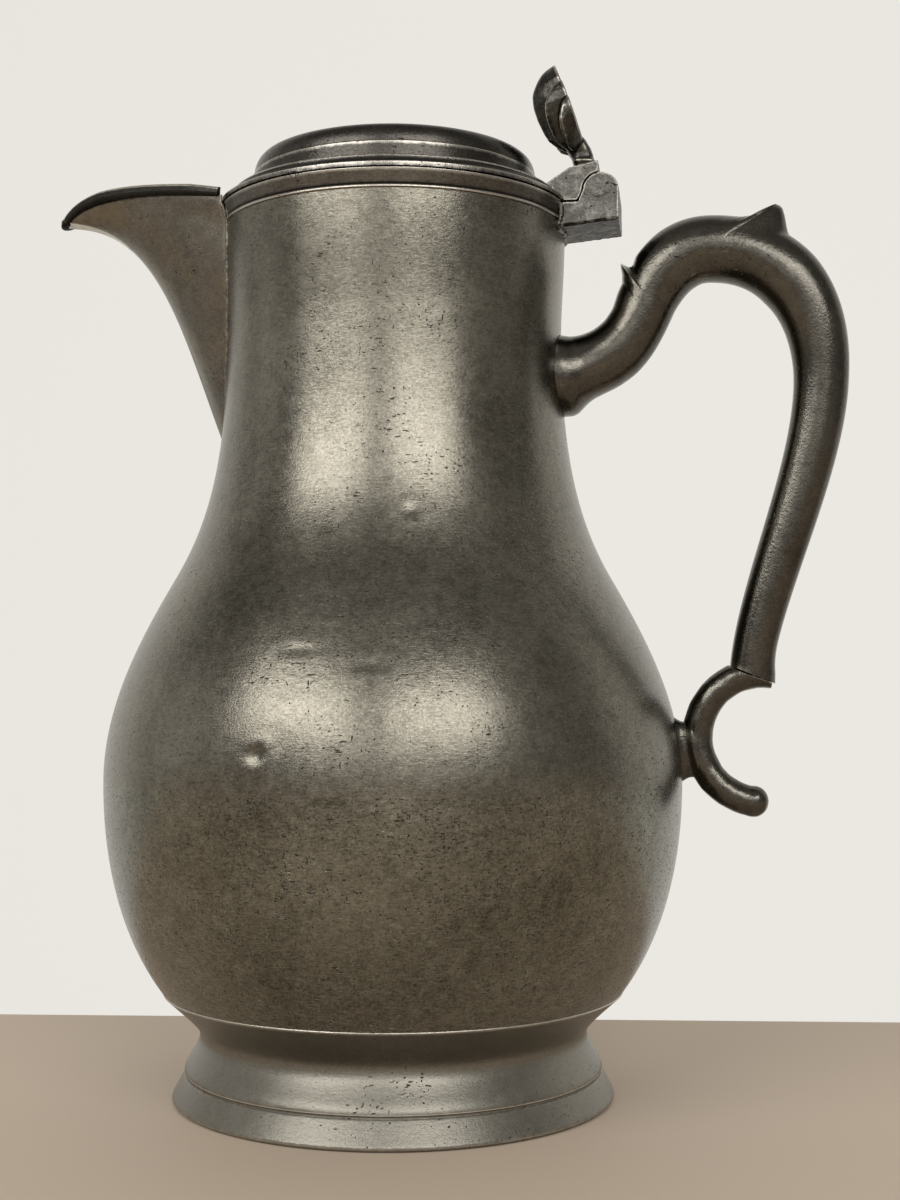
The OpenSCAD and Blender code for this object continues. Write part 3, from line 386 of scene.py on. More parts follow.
# Belly and neck: two shells of cast pewter, turned inside and out and soldered together at the widest
# line. The lower half has the most dents, pits and gouges; the neck is pierced behind the spout.
wall = 2.4
belly_r, belly_z = 95.2, 104
shoulder_r, shoulder_z, shoulder_lean, shoulder_h = 72.5, 169.3, math.radians(30), 65.3
neck_r, neck_z, neck_h = 55.9, 250, 80.7
rim_r, rim_z, flare_h = 57.3, 292.5, 42.5
joint_lean, belly_h = math.radians(37), 68.8
strainer_rows, strainer_d, strainer_pitch, strainer_low_z, drill_h = (1, 2, 3, 2, 3), 4, 8.5, 240.4, 20
shoulder = np.array((shoulder_r, shoulder_z))
shoulder_run = np.array((-math.sin(shoulder_lean), math.cos(shoulder_lean)))
lower_pulls = [
    (joint_r, foot_z),
    (joint_r + belly_h * 0.29 * math.sin(joint_lean), foot_z + belly_h * 0.29 * math.cos(joint_lean)),
    (belly_r, belly_z - belly_h * 0.44), (belly_r, belly_z)]
upper_pulls = [
    (belly_r, belly_z), (belly_r, belly_z + shoulder_h * 0.37), shoulder - shoulder_h * 0.34 * shoulder_run,
    shoulder]
neck_pulls = [
    shoulder, shoulder + neck_h * 0.22 * shoulder_run, (neck_r, neck_z - neck_h * 0.56), (neck_r, neck_z)]
flare_pulls = [
    (neck_r, neck_z), (neck_r, neck_z + flare_h * 0.28), (rim_r, rim_z - flare_h * 0.5), (rim_r, rim_z)]


def shell_profile(outside, step=1.6):
    """The outside, then the inside one wall's thickness in from it, back to the start."""
    outside = np.array(outside)
    run = np.gradient(outside, axis=0)
    across = np.stack([run[:, 1], -run[:, 0]], axis=1)
    inside = outside - across / np.linalg.norm(across, axis=1)[:, None] * wall
    inside[0, 1], inside[-1, 1] = outside[0, 1], outside[-1, 1]
    return spaced([*outside], step, False) + spaced([*inside[::-2], inside[0]], 2.5 * step, False)


def dent(obj, place, radius, depth, squash=1.0):
    """Presses a shallow round hollow with a faint raised ring into a piece, or a long one where it is
    squashed in height."""
    centre = Vector(place) * mm
    for vertex in obj.data.vertices:
        away = (vertex.co - centre) / (radius * mm)
        if max(abs(c) for c in away) < 3:
            far = math.sqrt(away.x ** 2 + away.y ** 2 + (away.z / squash) ** 2)
            push = math.exp(-2.5 * far * far) - 0.25 * math.exp(-2 * (far - 1.2) ** 2)
            vertex.co -= Vector((vertex.co.x, vertex.co.y, 0)).normalized() * depth * mm * push


# Satin with soft broad highlights, crowded with dark pits, dashes and gouges below the widest line
belly_finish = aged_pewter(
    "aged pewter, belly", "#49483f", "#949287", "#bdb8ae", rough=0.22, pits=1.5, dashes=1.8, gouges=1.1)
# The same metal, smoother and with far fewer marks
neck_finish = aged_pewter(
    "aged pewter, neck", "#56534b", "#8d897e", "#bdb8ae", rough=0.23, pits=0.45, dashes=0.5, gouges=0.6)
belly = turn("belly", shell_profile(curve(lower_pulls, 40)), belly_finish)
finish_piece(belly, "vessel", ["belly_lower"], calm_z=(foot_z, belly_z))
body_outside = curve(upper_pulls, 40) + curve(neck_pulls, 44)[1:] + curve(flare_pulls, 26)[1:]
neck = turn("neck", shell_profile(body_outside), neck_finish)
dent(neck, (-24, -91.3, 115.5), 3.4, 0.7)
dent(neck, (-13, -84, 145.5), 7, 0.16, squash=0.35)
dent(neck, (8, -86.3, 141), 8, 0.16, squash=0.35)
dent(neck, (16, -62, 187), 3, 0.35)
drill = bmesh.new()
for row, holes in enumerate(strainer_rows):
    for k in range(holes):
        hole_y, hole_z = (k - (holes - 1) / 2) * strainer_pitch, strainer_low_z + row * strainer_pitch
        bmesh.ops.create_cone(
            drill, cap_ends=True, segments=24, radius1=strainer_d / 2 * mm, radius2=strainer_d / 2 * mm,
            depth=drill_h * mm, matrix=Matrix.Translation(Vector((-neck_r, hole_y, hole_z)) * mm)
            @ Matrix.Rotation(math.pi / 2, 4, "Y"))
drill_mesh = bpy.data.meshes.new("strainer drill")
drill.to_mesh(drill_mesh)
drill.free()
drill_mesh.materials.append(neck_finish)
driller = bpy.data.objects.new("strainer drill", drill_mesh)
bpy.context.scene.collection.objects.link(driller)
bore = neck.modifiers.new("bore", "BOOLEAN")
bore.object, bore.operation, bore.solver = driller, "DIFFERENCE", "MANIFOLD"
keep_evaluated(neck)
bpy.data.objects.remove(driller)
finish_piece(neck, "vessel", ["body_upper"], calm_z=(belly_z, rim_z))

# Rim band: a plain flared band round the mouth with a fine bead along its lower edge, soldered on and
# turned true. It stops at the spout's two seams.
spout_angle = 27
band_z, band_bead, band_flare, band_t, band_gap = 286.5, 0.7, 1.3, 1.4, 1
band_open = spout_angle + math.degrees(math.asin(band_gap / rim_r))
band_profile = eased([
    (rim_r - band_t, band_z + 0.1), (rim_r + band_bead, band_z + 0.1),
    (rim_r + band_bead, band_z + band_bead), (rim_r + 0.1, band_z + 2 * band_bead),
    (rim_r + band_flare, rim_z), (rim_r - band_t, rim_z)], 0.25)
# Darker than the neck, with thin bright lines where the edges are rubbed
rim_finish = aged_pewter(
    "aged pewter, rim", "#514e48", "#77736c", "#ccc7bd", rough=0.27, pits=0.3, dashes=0.3, gouges=0.5)
band = turn("rim_band", spaced(band_profile, 1.2), rim_finish, arc=(band_open - 180, 360 - 2 * band_open))
finish_piece(band, "vessel", ["rim_band"], worn=0.6, blur=1)

# Spout: a long V-shaped trough of sheet pewter with a keel that is filed flat towards its tip, soldered to
# the neck along a rough seam. Its cheeks are stained and slightly dented.
tip_x, tip_z, tip_w, tip_t, keel_z = -117.3, 292.8, 6, 1.5, 213.5
edge_z, edge_rise, edge_arch, cheek_t, flange_out_r, solder_gap = 294.7, 8.1, 4.7, 1.8, 59.5, 0.08
edge_out_shares, edge_side_shares = (0.96, 0.835, 0.44, 0), (0, 0.14, 0.58, 1)
keel_shares = [(1, 1), (0.71, 0.99), (0.39, 0.95), (0.235, 0.435), (0, 0)]
keel_round, seam_power, floor_ramp = 1.45, 4, 0.16
keel_flat_w, keel_flat_end, keel_flat_share, keel_flat_lean, keel_flat_taper = 5.6, 0.8, 0.0574, 0.5, 0.8
spout_rows, cheek_rows, edge_steps, keel_steps = 64, 26, 300, 200
body_line = np.array(curve(lower_pulls, 60) + curve(upper_pulls, 60)[1:] + curve(neck_pulls, 60)[1:]
                     + curve(flare_pulls, 60)[1:])


def body_r(z):
    """The body's outer radius at a height."""
    return float(np.interp(z, body_line[:, 1], body_line[:, 0]))


def seam_r(z):
    """The radius of the spout's seam: the neck's, then out past the band to clear the lid."""
    if z <= band_z:
        return body_r(z) + solder_gap
    return rim_r + solder_gap + (flange_out_r - rim_r) * min(1, (z - band_z) / (rim_z - band_z))


def on_curve(pulls, t):
    """The point at a share of the way along a curve, and its direction."""
    row = [np.array(p, float) for p in pulls]
    while len(row) > 2:
        row = [a + (b - a) * t for a, b in zip(row, row[1:])]
    return row[0] + (row[1] - row[0]) * t, (row[1] - row[0]) / np.linalg.norm(row[1] - row[0])


def bulge(v):
    """How far out a cheek stands, at a share of the way up from the keel."""
    return (1 - (1 - v) ** keel_round) ** (1 / keel_round)


def edge_end(inset):
    """Where the trough's edge meets the neck, seen from above."""
    a = math.radians(spout_angle) - math.asin(inset / rim_r)
    return seam_r(edge_z) * np.array((-math.cos(a), math.sin(a)))


def edge_pulls(inset):
    """Pull points of the trough's edge, from the tip to the neck."""
    e = edge_end(inset)
    heights = (tip_z + tip_t / 2, edge_z + edge_rise, edge_z + edge_arch, edge_z)
    return [(e[0] + (tip_x - e[0]) * out, tip_w / 2 - inset + (e[1] - tip_w / 2 + inset) * side, z)
            for out, side, z in zip(edge_out_shares, edge_side_shares, heights)]


def keel_point(u, inset):
    """A point of the keel, or of the trough's bottom where it is inset, from the tip to the neck."""
    start_x = -seam_r(keel_z)
    p, d = on_curve([(start_x + (tip_x - start_x) * x, keel_z + (tip_z - keel_z) * z)
                     for x, z in keel_shares], u)
    if inset == 0:
        return p
    e = on_curve(edge_pulls(inset), u)[0]
    ramp = min(1, u / floor_ramp)
    return np.array((e[0], e[2] - 0.08)) * (1 - ramp) + (p + inset * np.array((-d[1], d[0]))) * ramp


def cheek_point(u, s, inset):
    """A point of the trough: u from the tip to the neck, s from one edge over the keel to the other."""
    share = abs(s)
    flat = keel_flat_share if inset == 0 else 0

    def ruled(u):
        k, e = keel_point(u, inset), on_curve(edge_pulls(inset), u)[0]
        strip = keel_flat_w / 2 * max(0.02, 1 - u / keel_flat_end) ** keel_flat_taper
        strip = min(strip, 0.85 * e[1]) if flat else 0
        lean = min(0.6, keel_flat_lean * strip / (e[2] - k[1]))
        if share < flat:
            v, side = lean * share / flat, strip * share / flat
        else:
            w = (share - flat) / (1 - flat)
            v, side = lean + (1 - lean) * w, strip + (e[1] - strip) * bulge(w)
        return np.array((k[0] + (e[0] - k[0]) * v, side, k[1] + (e[2] - k[1]) * v))

    e = edge_end(inset)
    z = keel_z + 2 * inset + (edge_z - keel_z - 2 * inset) * share
    a = math.atan2(e[1], -e[0]) * bulge(share)
    seam = np.array((-seam_r(z) * math.cos(a), seam_r(z) * math.sin(a), z))
    p = ruled(u) + u ** seam_power * (seam - ruled(1))
    return (p[0], math.copysign(p[1], s), p[2])


def set_wear_and_painted_light(obj, change):
    """Gives every point the wear and painted light that the change works out from its place in mm and its old
    value.
    """
    wear_and_painted_light = obj.data.attributes["wear_and_painted_light"].data
    for vertex in obj.data.vertices:
        wear_and_painted_light[vertex.index].value = change(*(vertex.co / mm), wear_and_painted_light[vertex.index].value)


steps = [math.copysign(0.5 - 0.5 * math.cos(math.pi * k / cheek_rows), k)
         for k in range(-cheek_rows, cheek_rows + 1)]
loops = [[cheek_point(i / spout_rows, s, 0) for s in steps]
         + [cheek_point(i / spout_rows, s, cheek_t) for s in reversed(steps)] for i in range(spout_rows + 1)]
around = len(loops[0])
faces = [(i * around + j, (i + 1) * around + j, (i + 1) * around + (j + 1) % around,
          i * around + (j + 1) % around) for i in range(spout_rows) for j in range(around)]
for start in (0, spout_rows * around):
    faces += [(start + j, start + j + 1, start + around - 2 - j, start + around - 1 - j)
              for j in range(around // 2 - 1)]
spout = new_piece("spout", [p for loop in loops for p in loop], faces)
# Satin grey under warm brownish stains in soft spots, with a keel painted bright as a painted reflection
spout_finish = aged_pewter(
    "stained pewter, spout", "#605c53", "#88837a", "#c8c3b8", rough=0.3, pits=0.4, dashes=0.2, gouges=0.6,
    cloud_mm=30, stain=0.5)
spout.data.materials.append(spout_finish)
dent(spout, (-62.8, -21, 282.3), 3, 0.5)
dent(spout, (-62.6, -20, 256.9), 3, 0.5)
finish_piece(spout, "vessel", ["spout"])
edge_line = np.array([on_curve(edge_pulls(0), k / edge_steps)[0] for k in range(edge_steps + 1)])
keel_line = np.array([keel_point(k / keel_steps, 0) for k in range(keel_steps + 1)])


def spout_painted_light(x, y, z, wear_and_painted_light):
    """Painted shadow under the lip, and a keel painted bright towards the tip as a painted reflection."""
    least_shine, shine, strip_depth, lip_shadow, lip_shadow_h = 0.25, 0.5, 0.3, 0.8, 0.9
    away = np.linalg.norm(keel_line - (x, z), axis=1)
    nearest = int(np.argmin(away))
    # The flat keel strip is painted bright as a painted reflection, strongest at the tip
    rub_and_sheen = max(0, 1 - nearest / keel_steps / keel_flat_end)
    on_strip = abs(y) < keel_flat_w / 2 * rub_and_sheen ** keel_flat_taper + 0.05
    if on_strip and away[nearest] < strip_depth + keel_flat_lean * abs(y):
        return least_shine + shine * rub_and_sheen
    # Cheek points close under the lip's edge are darkened as a painted shadow
    gap = np.linalg.norm(edge_line - (x, abs(y), z), axis=1).min()
    return wear_and_painted_light - lip_shadow * min(1, max(0, 1.5 - gap / lip_shadow_h))


set_wear_and_painted_light(spout, spout_painted_light)

# Spout lip and seam: a squarish bead of pewter runs along the trough's edges and round its tip, soldered
# on. A rough bead of solder runs down the neck along both sides of the spout.
lip_w, lip_h, lip_corner, lip_end, lip_sink, lip_clear_r = 3.8, 3.9, 1.0, 0.998, 0.4, 59.4
lip_steps, lip_root_steps, lip_root_share, lip_tip_steps, lip_tip_share = 60, 8, 0.8, 22, 0.7
lip_tip_round, lip_tip_drop, section_step = 0.7, 0.8, 0.22
seam_w, seam_share = 1.5, 0.75

# A swept bar is a rounded rectangle carried along a path, lumpy where it is asked for
swept, given = new_tree(
    "swept bar", "Bar", Path="Geometry", Width="Float", Height="Float", Corner="Float", Rough="Float",
    Lump="Float", Finish="Material")
line = add(swept, "GeometryNodeMeshToCurve", {"Mesh": given["Path"]})
line = add(swept, "GeometryNodeSetCurveNormal", {"Curve": line}, mode="Z_UP")
section = add(swept, "GeometryNodeCurvePrimitiveQuadrilateral", {
    "Width": given["Width"], "Height": given["Height"]}, mode="RECTANGLE")
section = add(swept, "GeometryNodeFilletCurve", {
    "Curve": section, "Radius": given["Corner"], "Count": 6, "Limit Radius": True}, mode="POLY")
section = add(swept, "GeometryNodeResampleCurve", {
    "Curve": section, "Length": section_step * mm}, mode="LENGTH")
taper = add(swept, "GeometryNodeInputNamedAttribute", {"Name": "taper"}, data_type="FLOAT")
bar = add(swept, "GeometryNodeCurveToMesh", {
    "Curve": line, "Profile Curve": section, "Scale": taper, "Fill Caps": True})
where = add(swept, "GeometryNodeInputPosition")
fineness = add(swept, "ShaderNodeMath", {0: 1.0, 1: given["Lump"]}, operation="DIVIDE")
lump = add(swept, "ShaderNodeTexNoise", {"Vector": where, "Scale": fineness, "Detail": 2.0})
lump = add(swept, "ShaderNodeMath", {0: lump, 1: 0.5}, operation="SUBTRACT")
lump = add(swept, "ShaderNodeMath", {0: lump, 1: given["Rough"]}, operation="MULTIPLY")
facing = add(swept, "GeometryNodeInputNormal")
shift = add(swept, "ShaderNodeVectorMath", {0: facing, "Scale": lump}, operation="SCALE")
bar = add(swept, "GeometryNodeSetPosition", {"Geometry": bar, "Offset": shift})
bar = add(swept, "GeometryNodeRealizeInstances", {"Geometry": bar})
bar = add(swept, "GeometryNodeSetMaterial", {"Geometry": bar, "Material": given["Finish"]})
add(swept, "NodeGroupOutput", {"Bar": bar})


def sweep(name, points, tapers, size, corner, finish, rough, lump):
    """A bar of rounded rectangular section along a path, thinner where its taper is less than one."""
    obj = new_piece(name, points, edges=[(i, i + 1) for i in range(len(points) - 1)])
    obj.data.attributes.new("taper", "FLOAT", "POINT").data.foreach_set("value", tapers)
    settle(obj, swept, {
        "Width": size[0] * mm, "Height": size[1] * mm, "Corner": corner * mm, "Rough": rough * mm,
        "Lump": lump * mm, "Finish": finish})
    return obj


def mirrored(half):
    """The mirror image of a line, on the flagon's other side and run backwards."""
    return [p * np.array((1, -1, 1)) for p in reversed(half)]


lip_taper = [lip_root_share + (1 - lip_root_share) * min(1, i / lip_root_steps)
             - (1 - lip_tip_share) * max(0, i - lip_steps + lip_tip_steps) / lip_tip_steps
             for i in range(lip_steps + 1)]
lip_side = [on_curve(edge_pulls(cheek_t / 2), lip_end * (1 - i / lip_steps))[0]
            + np.array((0, 0, taper * lip_h / 2 - lip_sink)) for i, taper in enumerate(lip_taper)]
tip = lip_side[-1]
lip_tip = [np.array((tip[0] - lip_tip_round * tip[1] * math.sin(a), tip[1] * math.cos(a),
                     tip[2] - lip_tip_drop * math.sin(a))) for a in np.linspace(0, math.pi, 15)[1:-1]]
lip_path = lip_side + lip_tip + mirrored(lip_side)
# Almost black as a painted dark reflection, with a thin painted highlight along its upper outer edge
lip_finish = aged_pewter(
    "aged pewter, lip", "#2e2d2a", "#444340", "#cfcac0", rough=0.27, pits=0.3, dashes=0.2, gouges=0.3)
lip = sweep("spout_lip", lip_path, lip_taper + [lip_taper[-1]] * len(lip_tip) + lip_taper[::-1],
            (lip_w, lip_h), lip_corner, lip_finish, rough=0.12, lump=9)
for vertex in lip.data.vertices:
    out = math.hypot(vertex.co.x, vertex.co.y) / mm
    if out < lip_clear_r:
        vertex.co.x, vertex.co.y = vertex.co.x * lip_clear_r / out, vertex.co.y * lip_clear_r / out
finish_piece(lip, "vessel", ["spout_lip"], worn=0.5, blur=1)
lip_line = np.array(lip_path)


def lip_painted_light(x, y, z, wear_and_painted_light):
    """Painted shade below, and a painted highlight along the upper outer edge."""
    low, high, outer, grime_and_shade, shine = 0.3, 1.2, 1.1, -0.4, 0.5
    nearest = lip_line[np.argmin(np.linalg.norm(lip_line - (x, y, z), axis=1))]
    # The lip's lower part gets painted shade, and its upper outer edge a painted highlight
    if z < nearest[2] - low:
        return min(wear_and_painted_light, grime_and_shade)
    return shine if z > nearest[2] + high and abs(y) > abs(nearest[1]) + outer else wear_and_painted_light


set_wear_and_painted_light(lip, lip_painted_light)
seam_half = [np.array(cheek_point(1, v, 0)) for v in np.linspace(1, 0.0, 70)]
seam_path = seam_half + mirrored(seam_half[:-1])
# Lumpy and dull, with pale specks
solder_finish = aged_pewter(
    "solder, rough", "#44423d", "#6d6b64", "#c4bfb4", rough=0.34, pits=0.6, dashes=0.3, gouges=0.2,
    cloud_mm=12, grain=0.9, oxide=0.2, broken=0.8)
solder = sweep("spout_solder", seam_path, [seam_share] * len(seam_path), (seam_w, seam_w), seam_w / 2,
               solder_finish, rough=1.3, lump=2.2)
finish_piece(solder, "vessel", [], worn=0.25)

# Hinge: a cast block soldered behind the rim, with two ears that hold a riveted pin. It is rougher and
# greyer than the body, pitted and whitish from oxide.
hinge_x, hinge_z, hinge_w, pin_r, bracket_drop, bracket_tilt = 70, 295.8, 24, 1.9, 7.2, math.radians(6)
bracket_sag, peen_r, peen_ragged, peen_sides = 1.2, 2.9, 0.13, 48
peen_half = [(-12.2, 0.2), (-12.21, 0.7), (-12.2, 1.2), (-12.18, 1.7), (-12.15, 2.1), (-12.1, 2.5),
             (-12.02, peen_r), (-11.9, peen_r), (-11.85, 1.86), (-4, 1.86)]
bead_w, bead_step, bead_top, bead_count, bead_out = 1.7, 0.5, 0.8, 8, 0.9
# Rough grey casting under a broken pale crust
hinge_finish = aged_pewter(
    "rough pewter, hinge", "#444340", "#686763", "#a9a69e", rough=0.36, pits=0.7, dashes=0.3, gouges=0.12,
    cloud_mm=14, grain=0.9, oxide=0.45)


def fuse_and_soften(obj, grain, soft, finish):
    """Joins all that overlaps into one skin of small even faces, and rounds its edges."""
    even = obj.modifiers.new("even", "REMESH")
    even.mode, even.voxel_size = "VOXEL", grain * mm
    worn = obj.modifiers.new("worn", "SMOOTH")
    worn.factor, worn.iterations = 0.5, soft
    keep_evaluated(obj)
    obj.data.materials.clear()
    obj.data.materials.append(finish)


def cast_copy(node, grain, soft, finish):
    """A copy of a CAD solid in small even faces, with its edges softened as a worn casting's are."""
    obj = bpy.data.objects.new(node + "_cast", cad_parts[node].data.copy())
    bpy.context.scene.collection.objects.link(obj)
    clean(obj)
    fuse_and_soften(obj, grain, soft, finish)
    return obj


def roughen(obj, size, depth, seed):
    """Moves every point in or out a little, as the skin of a sand casting is."""
    offset = Vector((seed * 7.3, seed * 3.1, seed * 5.7))
    moves = [v.normal * noise.fractal(v.co / (size * mm) + offset, 1.0, 2.0, 2) * depth * mm
             for v in obj.data.vertices]
    for vertex, move in zip(obj.data.vertices, moves):
        vertex.co += move


def loft(loops):
    """Points and faces of a closed form through loops of as many points each."""
    count = len(loops[0])
    faces = [(i * count + j, i * count + (j + 1) % count, (i + 1) * count + (j + 1) % count,
              (i + 1) * count + j) for i in range(len(loops) - 1) for j in range(count)]
    ends = [tuple(range(count)), tuple(range((len(loops) - 1) * count, len(loops) * count))]
    return [p for loop in loops for p in loop], faces + ends


def bracket_painted_shade(x, y, z, wear_and_painted_light):
    """No shine near the pin, painted shade along the lower edge of each side, and painted shade on the
    underside.
    """
    pin_calm, edge_w, under_h, under_shade, side_shade, side_shade_h = 0.8, 0.9, 0.3, -0.25, 1.2, 0.7
    if math.hypot(x - hinge_x, z - hinge_z) < peen_r + pin_calm:
        return 0.0
    low = z - (rim_z - bracket_drop - bracket_sag + (x - rim_r) * math.tan(bracket_tilt))
    # Painted shade along the lower edge of each side, and on the underside
    if abs(y) > hinge_w / 2 - edge_w:
        return wear_and_painted_light - side_shade * min(1, max(0, 1.6 - low / side_shade_h))
    return under_shade if low < under_h else wear_and_painted_light


bracket = cast_copy("hinge_bracket", 0.3, 4, hinge_finish)
for vertex in bracket.data.vertices:
    vertex.co.z -= bracket_sag * mm * min(1, max(0, (rim_z - vertex.co.z / mm) / (bracket_drop / 2)))
roughen(bracket, 3.0, 0.12, 1)
finish_piece(bracket, "vessel", ["hinge_bracket"], crisp=60, worn=0.6)
set_wear_and_painted_light(bracket, bracket_painted_shade)
side_y, under_z = hinge_w / 2 + 0.2, rim_z - bracket_drop - bracket_sag - 0.2
bead_run = ([(-side_y, rim_z - bead_top - k) for k in range(bead_count)]
            + [(side_y * (k / 12 - 1), under_z) for k in range(1, 24)]
            + [(side_y, rim_z - bead_top - k) for k in reversed(range(bead_count))])
bead_path = spaced([
    np.array((math.sqrt((seam_r(min(z, band_z)) + bead_out * (z > band_z)) ** 2 - y ** 2), y, z))
    for y, z in bead_run], bead_step, False)
bracket_solder = sweep("bracket_solder", bead_path, [1.0] * len(bead_path), (bead_w, bead_w), bead_w / 2,
                       solder_finish, rough=1.7, lump=2.4)
finish_piece(bracket_solder, "vessel", [], worn=0.2)
peen_loops = []
for y, r in peen_half + [(-y, r) for y, r in reversed(peen_half)]:
    ragged = peen_ragged if r > pin_r else 0
    peen_loops.append([
        (hinge_x + r * (1 + ragged * math.sin(3 * a + 1 + y)) * math.cos(a), y,
         hinge_z + r * (1 + ragged * math.sin(2 * a + y)) * math.sin(a))
        for a in np.linspace(0, 2 * math.pi, peen_sides + 1)[:-1]])
pin = new_piece("hinge_pin_riveted", *loft(peen_loops))
pin.data.materials.append(hinge_finish)
roughen(pin, 1.1, 0.12, 3)
finish_piece(pin, "vessel", ["hinge_pin"], crisp=60)
set_wear_and_painted_light(pin, lambda x, y, z, wear_and_painted_light: 0.0)

# Handle: a solid S-shaped casting with two leaf-tipped spurs, soldered by its root to the neck and by a
# pad and a C-scroll to the belly. Hands have polished it dark, with a broken shine along its back.
root_z, crest_z, back_out = 237.0, 277.9, 23.3
tail_z, tail_bend_r, tail_r, tail_gap, tail_start = 117.7, 20.9, 4.9, 1.2, math.radians(100)
tail_x = body_r(tail_z) + tail_gap + tail_r + tail_bend_r
tail_joint = np.array((tail_x + tail_bend_r * math.cos(tail_start),
                       tail_z + tail_bend_r * math.sin(tail_start)))
tail_joint_tilt = math.radians(22)
root = np.array((body_r(root_z) + solder_gap, root_z))
back_x = tail_joint[0] + back_out


def between(a, b, t):
    """The value at a share of the way from one to another."""
    return a + (b - a) * t


rise = np.array((between(root[0], back_x, 0.335), between(root[1], crest_z, 0.61)))
crest = np.array((between(root[0], back_x, 0.575), crest_z))
back = np.array((back_x, between(crest_z, tail_joint[1], 0.3)))
rise_pulls = [np.array((between(root[0], rise[0], a), between(root[1], rise[1], b))) for a, b in
              ((0.53, 0.1), (0.77, 0.48))]
handle_curves = [
    [root, *rise_pulls, rise],
    [rise, rise + (rise - rise_pulls[1]) * 0.69, (between(rise[0], crest[0], 0.51), crest_z), crest],
    [crest, (between(crest[0], back_x, 0.61), crest_z), (back_x, between(crest_z, back[1], 0.38)), back],
    [back, (back_x, between(back[1], tail_joint[1], 0.31)),
     (between(back_x, tail_joint[0], 0.89), between(back[1], tail_joint[1], 0.72)), tail_joint]]

# Half thickness outwards, inwards and sideways, at places along the four curves
half_at = [0, 0.03, 0.06, 0.09, 0.12, 0.15, 0.18, 0.26, 0.35, 0.5, 0.65, 0.8, 1, 1.6, 2.5, 3, 4]
half_out = [13.9, 13.7, 13.4, 13.1, 12.7, 12.3, 11.9, 11.2, 10.5, 9.4, 8.6, 8.6, 10.1, 11, 11, 8.9, 6.8]
half_in = [13.7, 13.9, 13.5, 12.2, 11.2, 10.6, 10.2, 10.2, 10.6, 11.1, 11, 10.6, 10.1, 11, 11, 8.9, 6.8]
half_side = [12.4, 12.3, 12, 11.5, 10.9, 10.5, 10.2, 10, 9.8, 9.6, 9.3, 9.2, 9.3, 10.1, 10.1, 8.2, 6.3]
handle_length = 4
along = np.linspace(0, handle_length, 801)


def rounded_off(values, reach=10):
    """A table of sizes along the handle, at every step and with its corners rounded off."""
    window = np.hanning(2 * reach + 1) / np.hanning(2 * reach + 1).sum()
    return np.convolve(np.pad(np.interp(along, half_at, values), reach, mode="edge"), window, mode="valid")


half_out, half_in, half_side = rounded_off(half_out), rounded_off(half_in), rounded_off(half_side)

# Outlines of the two leaf tips as places along the handle and shares of their height, then each spur's
# place, height, outline and narrowness
leaf_tip = [(-0.13, 0), (-0.1, 0.02), (-0.05, 0.23), (-0.03, 0.48), (-0.015, 0.8), (0, 0.98), (0.015, 1),
            (0.03, 0.89), (0.05, 0.6), (0.08, 0.19), (0.1, 0)]
leaf_flap = [(-0.26, 0), (-0.16, -0.15), (-0.08, 0.3), (-0.03, 0.8), (0, 1), (0.006, 0), (0.03, -0.3),
             (0.12, 0)]
spurs = [(2.25, 7.4, leaf_tip, 3.2), (1.19, 2.9, leaf_flap, 1.6)]
spur_reach, spur_lag, shoulder_reach, shoulder_lift = 0.45, 0.22, 0.16, 0.8
hook_s, hook_out = 3.86, 1.3
handle_rows, handle_sides = 260, 72


def handle_point(t, a, size=1.0):
    """A point of the handle: t along its four curves, a round it from the outer side."""
    s, lift = t, 0.0
    upward = max(0.0, math.cos(a))
    for tip_s, high, shape, narrow in spurs:
        near = max(0.0, 1 - abs(t - tip_s) / spur_reach)
        near = near * near * (3 - 2 * near)
        s -= near * spur_lag * (1 - max(0.2, math.cos(a)))
        lift += high * upward ** narrow * float(np.interp(t - tip_s, *zip(*shape)))
        if tip_s - shoulder_reach < t <= tip_s:
            beside = max(0.0, math.sin(2 * a) if a < math.pi else -math.sin(2 * a))
            lift += shoulder_lift * beside * (t - tip_s + shoulder_reach) / shoulder_reach
    if t > hook_s:
        lift += hook_out * upward * ((t - hook_s) / (handle_length - hook_s)) ** 2
    s = min(max(s, 0), handle_length)
    i = min(int(s), handle_length - 1)
    p, d = on_curve(handle_curves[i], s - i)
    half = float(np.interp(s, along, half_out if math.cos(a) > 0 else half_in))
    up = size * (half * math.cos(a) + lift)
    side = size * float(np.interp(s, along, half_side)) * math.sin(a)
    return np.array((p[0] - d[1] * up, side, p[1] + d[0] * up))


def on_neck(p):
    """The point moved level onto the neck."""
    return np.array((math.sqrt((body_r(p[2]) + solder_gap) ** 2 - p[1] ** 2), p[1], p[2]))


turns = [2 * math.pi * k / handle_sides for k in range(handle_sides)]
grid = sorted([handle_length * i / handle_rows for i in range(1, handle_rows)]
              + [spur[0] + k for spur in spurs for k in (-0.022, -0.015, -0.006, 0.0, 0.003, 0.006, 0.022)])
rows = [[on_neck(handle_point(0, a, size)) for a in turns] for size in (0.05, 0.25, 0.5, 0.75, 1.0)]
rows += [[handle_point(t, a) for a in turns] for t in grid]
joint_normal = np.array((math.sin(tail_joint_tilt), math.cos(tail_joint_tilt)))
end_run = on_curve(handle_curves[-1], 1)[1]
last = []
for a in turns:
    p = handle_point(handle_length, a)
    q = np.array((p[0], p[2]))
    q = q + end_run * ((tail_joint - q) @ joint_normal) / (end_run @ joint_normal)
    last.append(np.array((q[0], p[1], q[1])))
handle = new_piece("handle", *loft(rows + [last]))
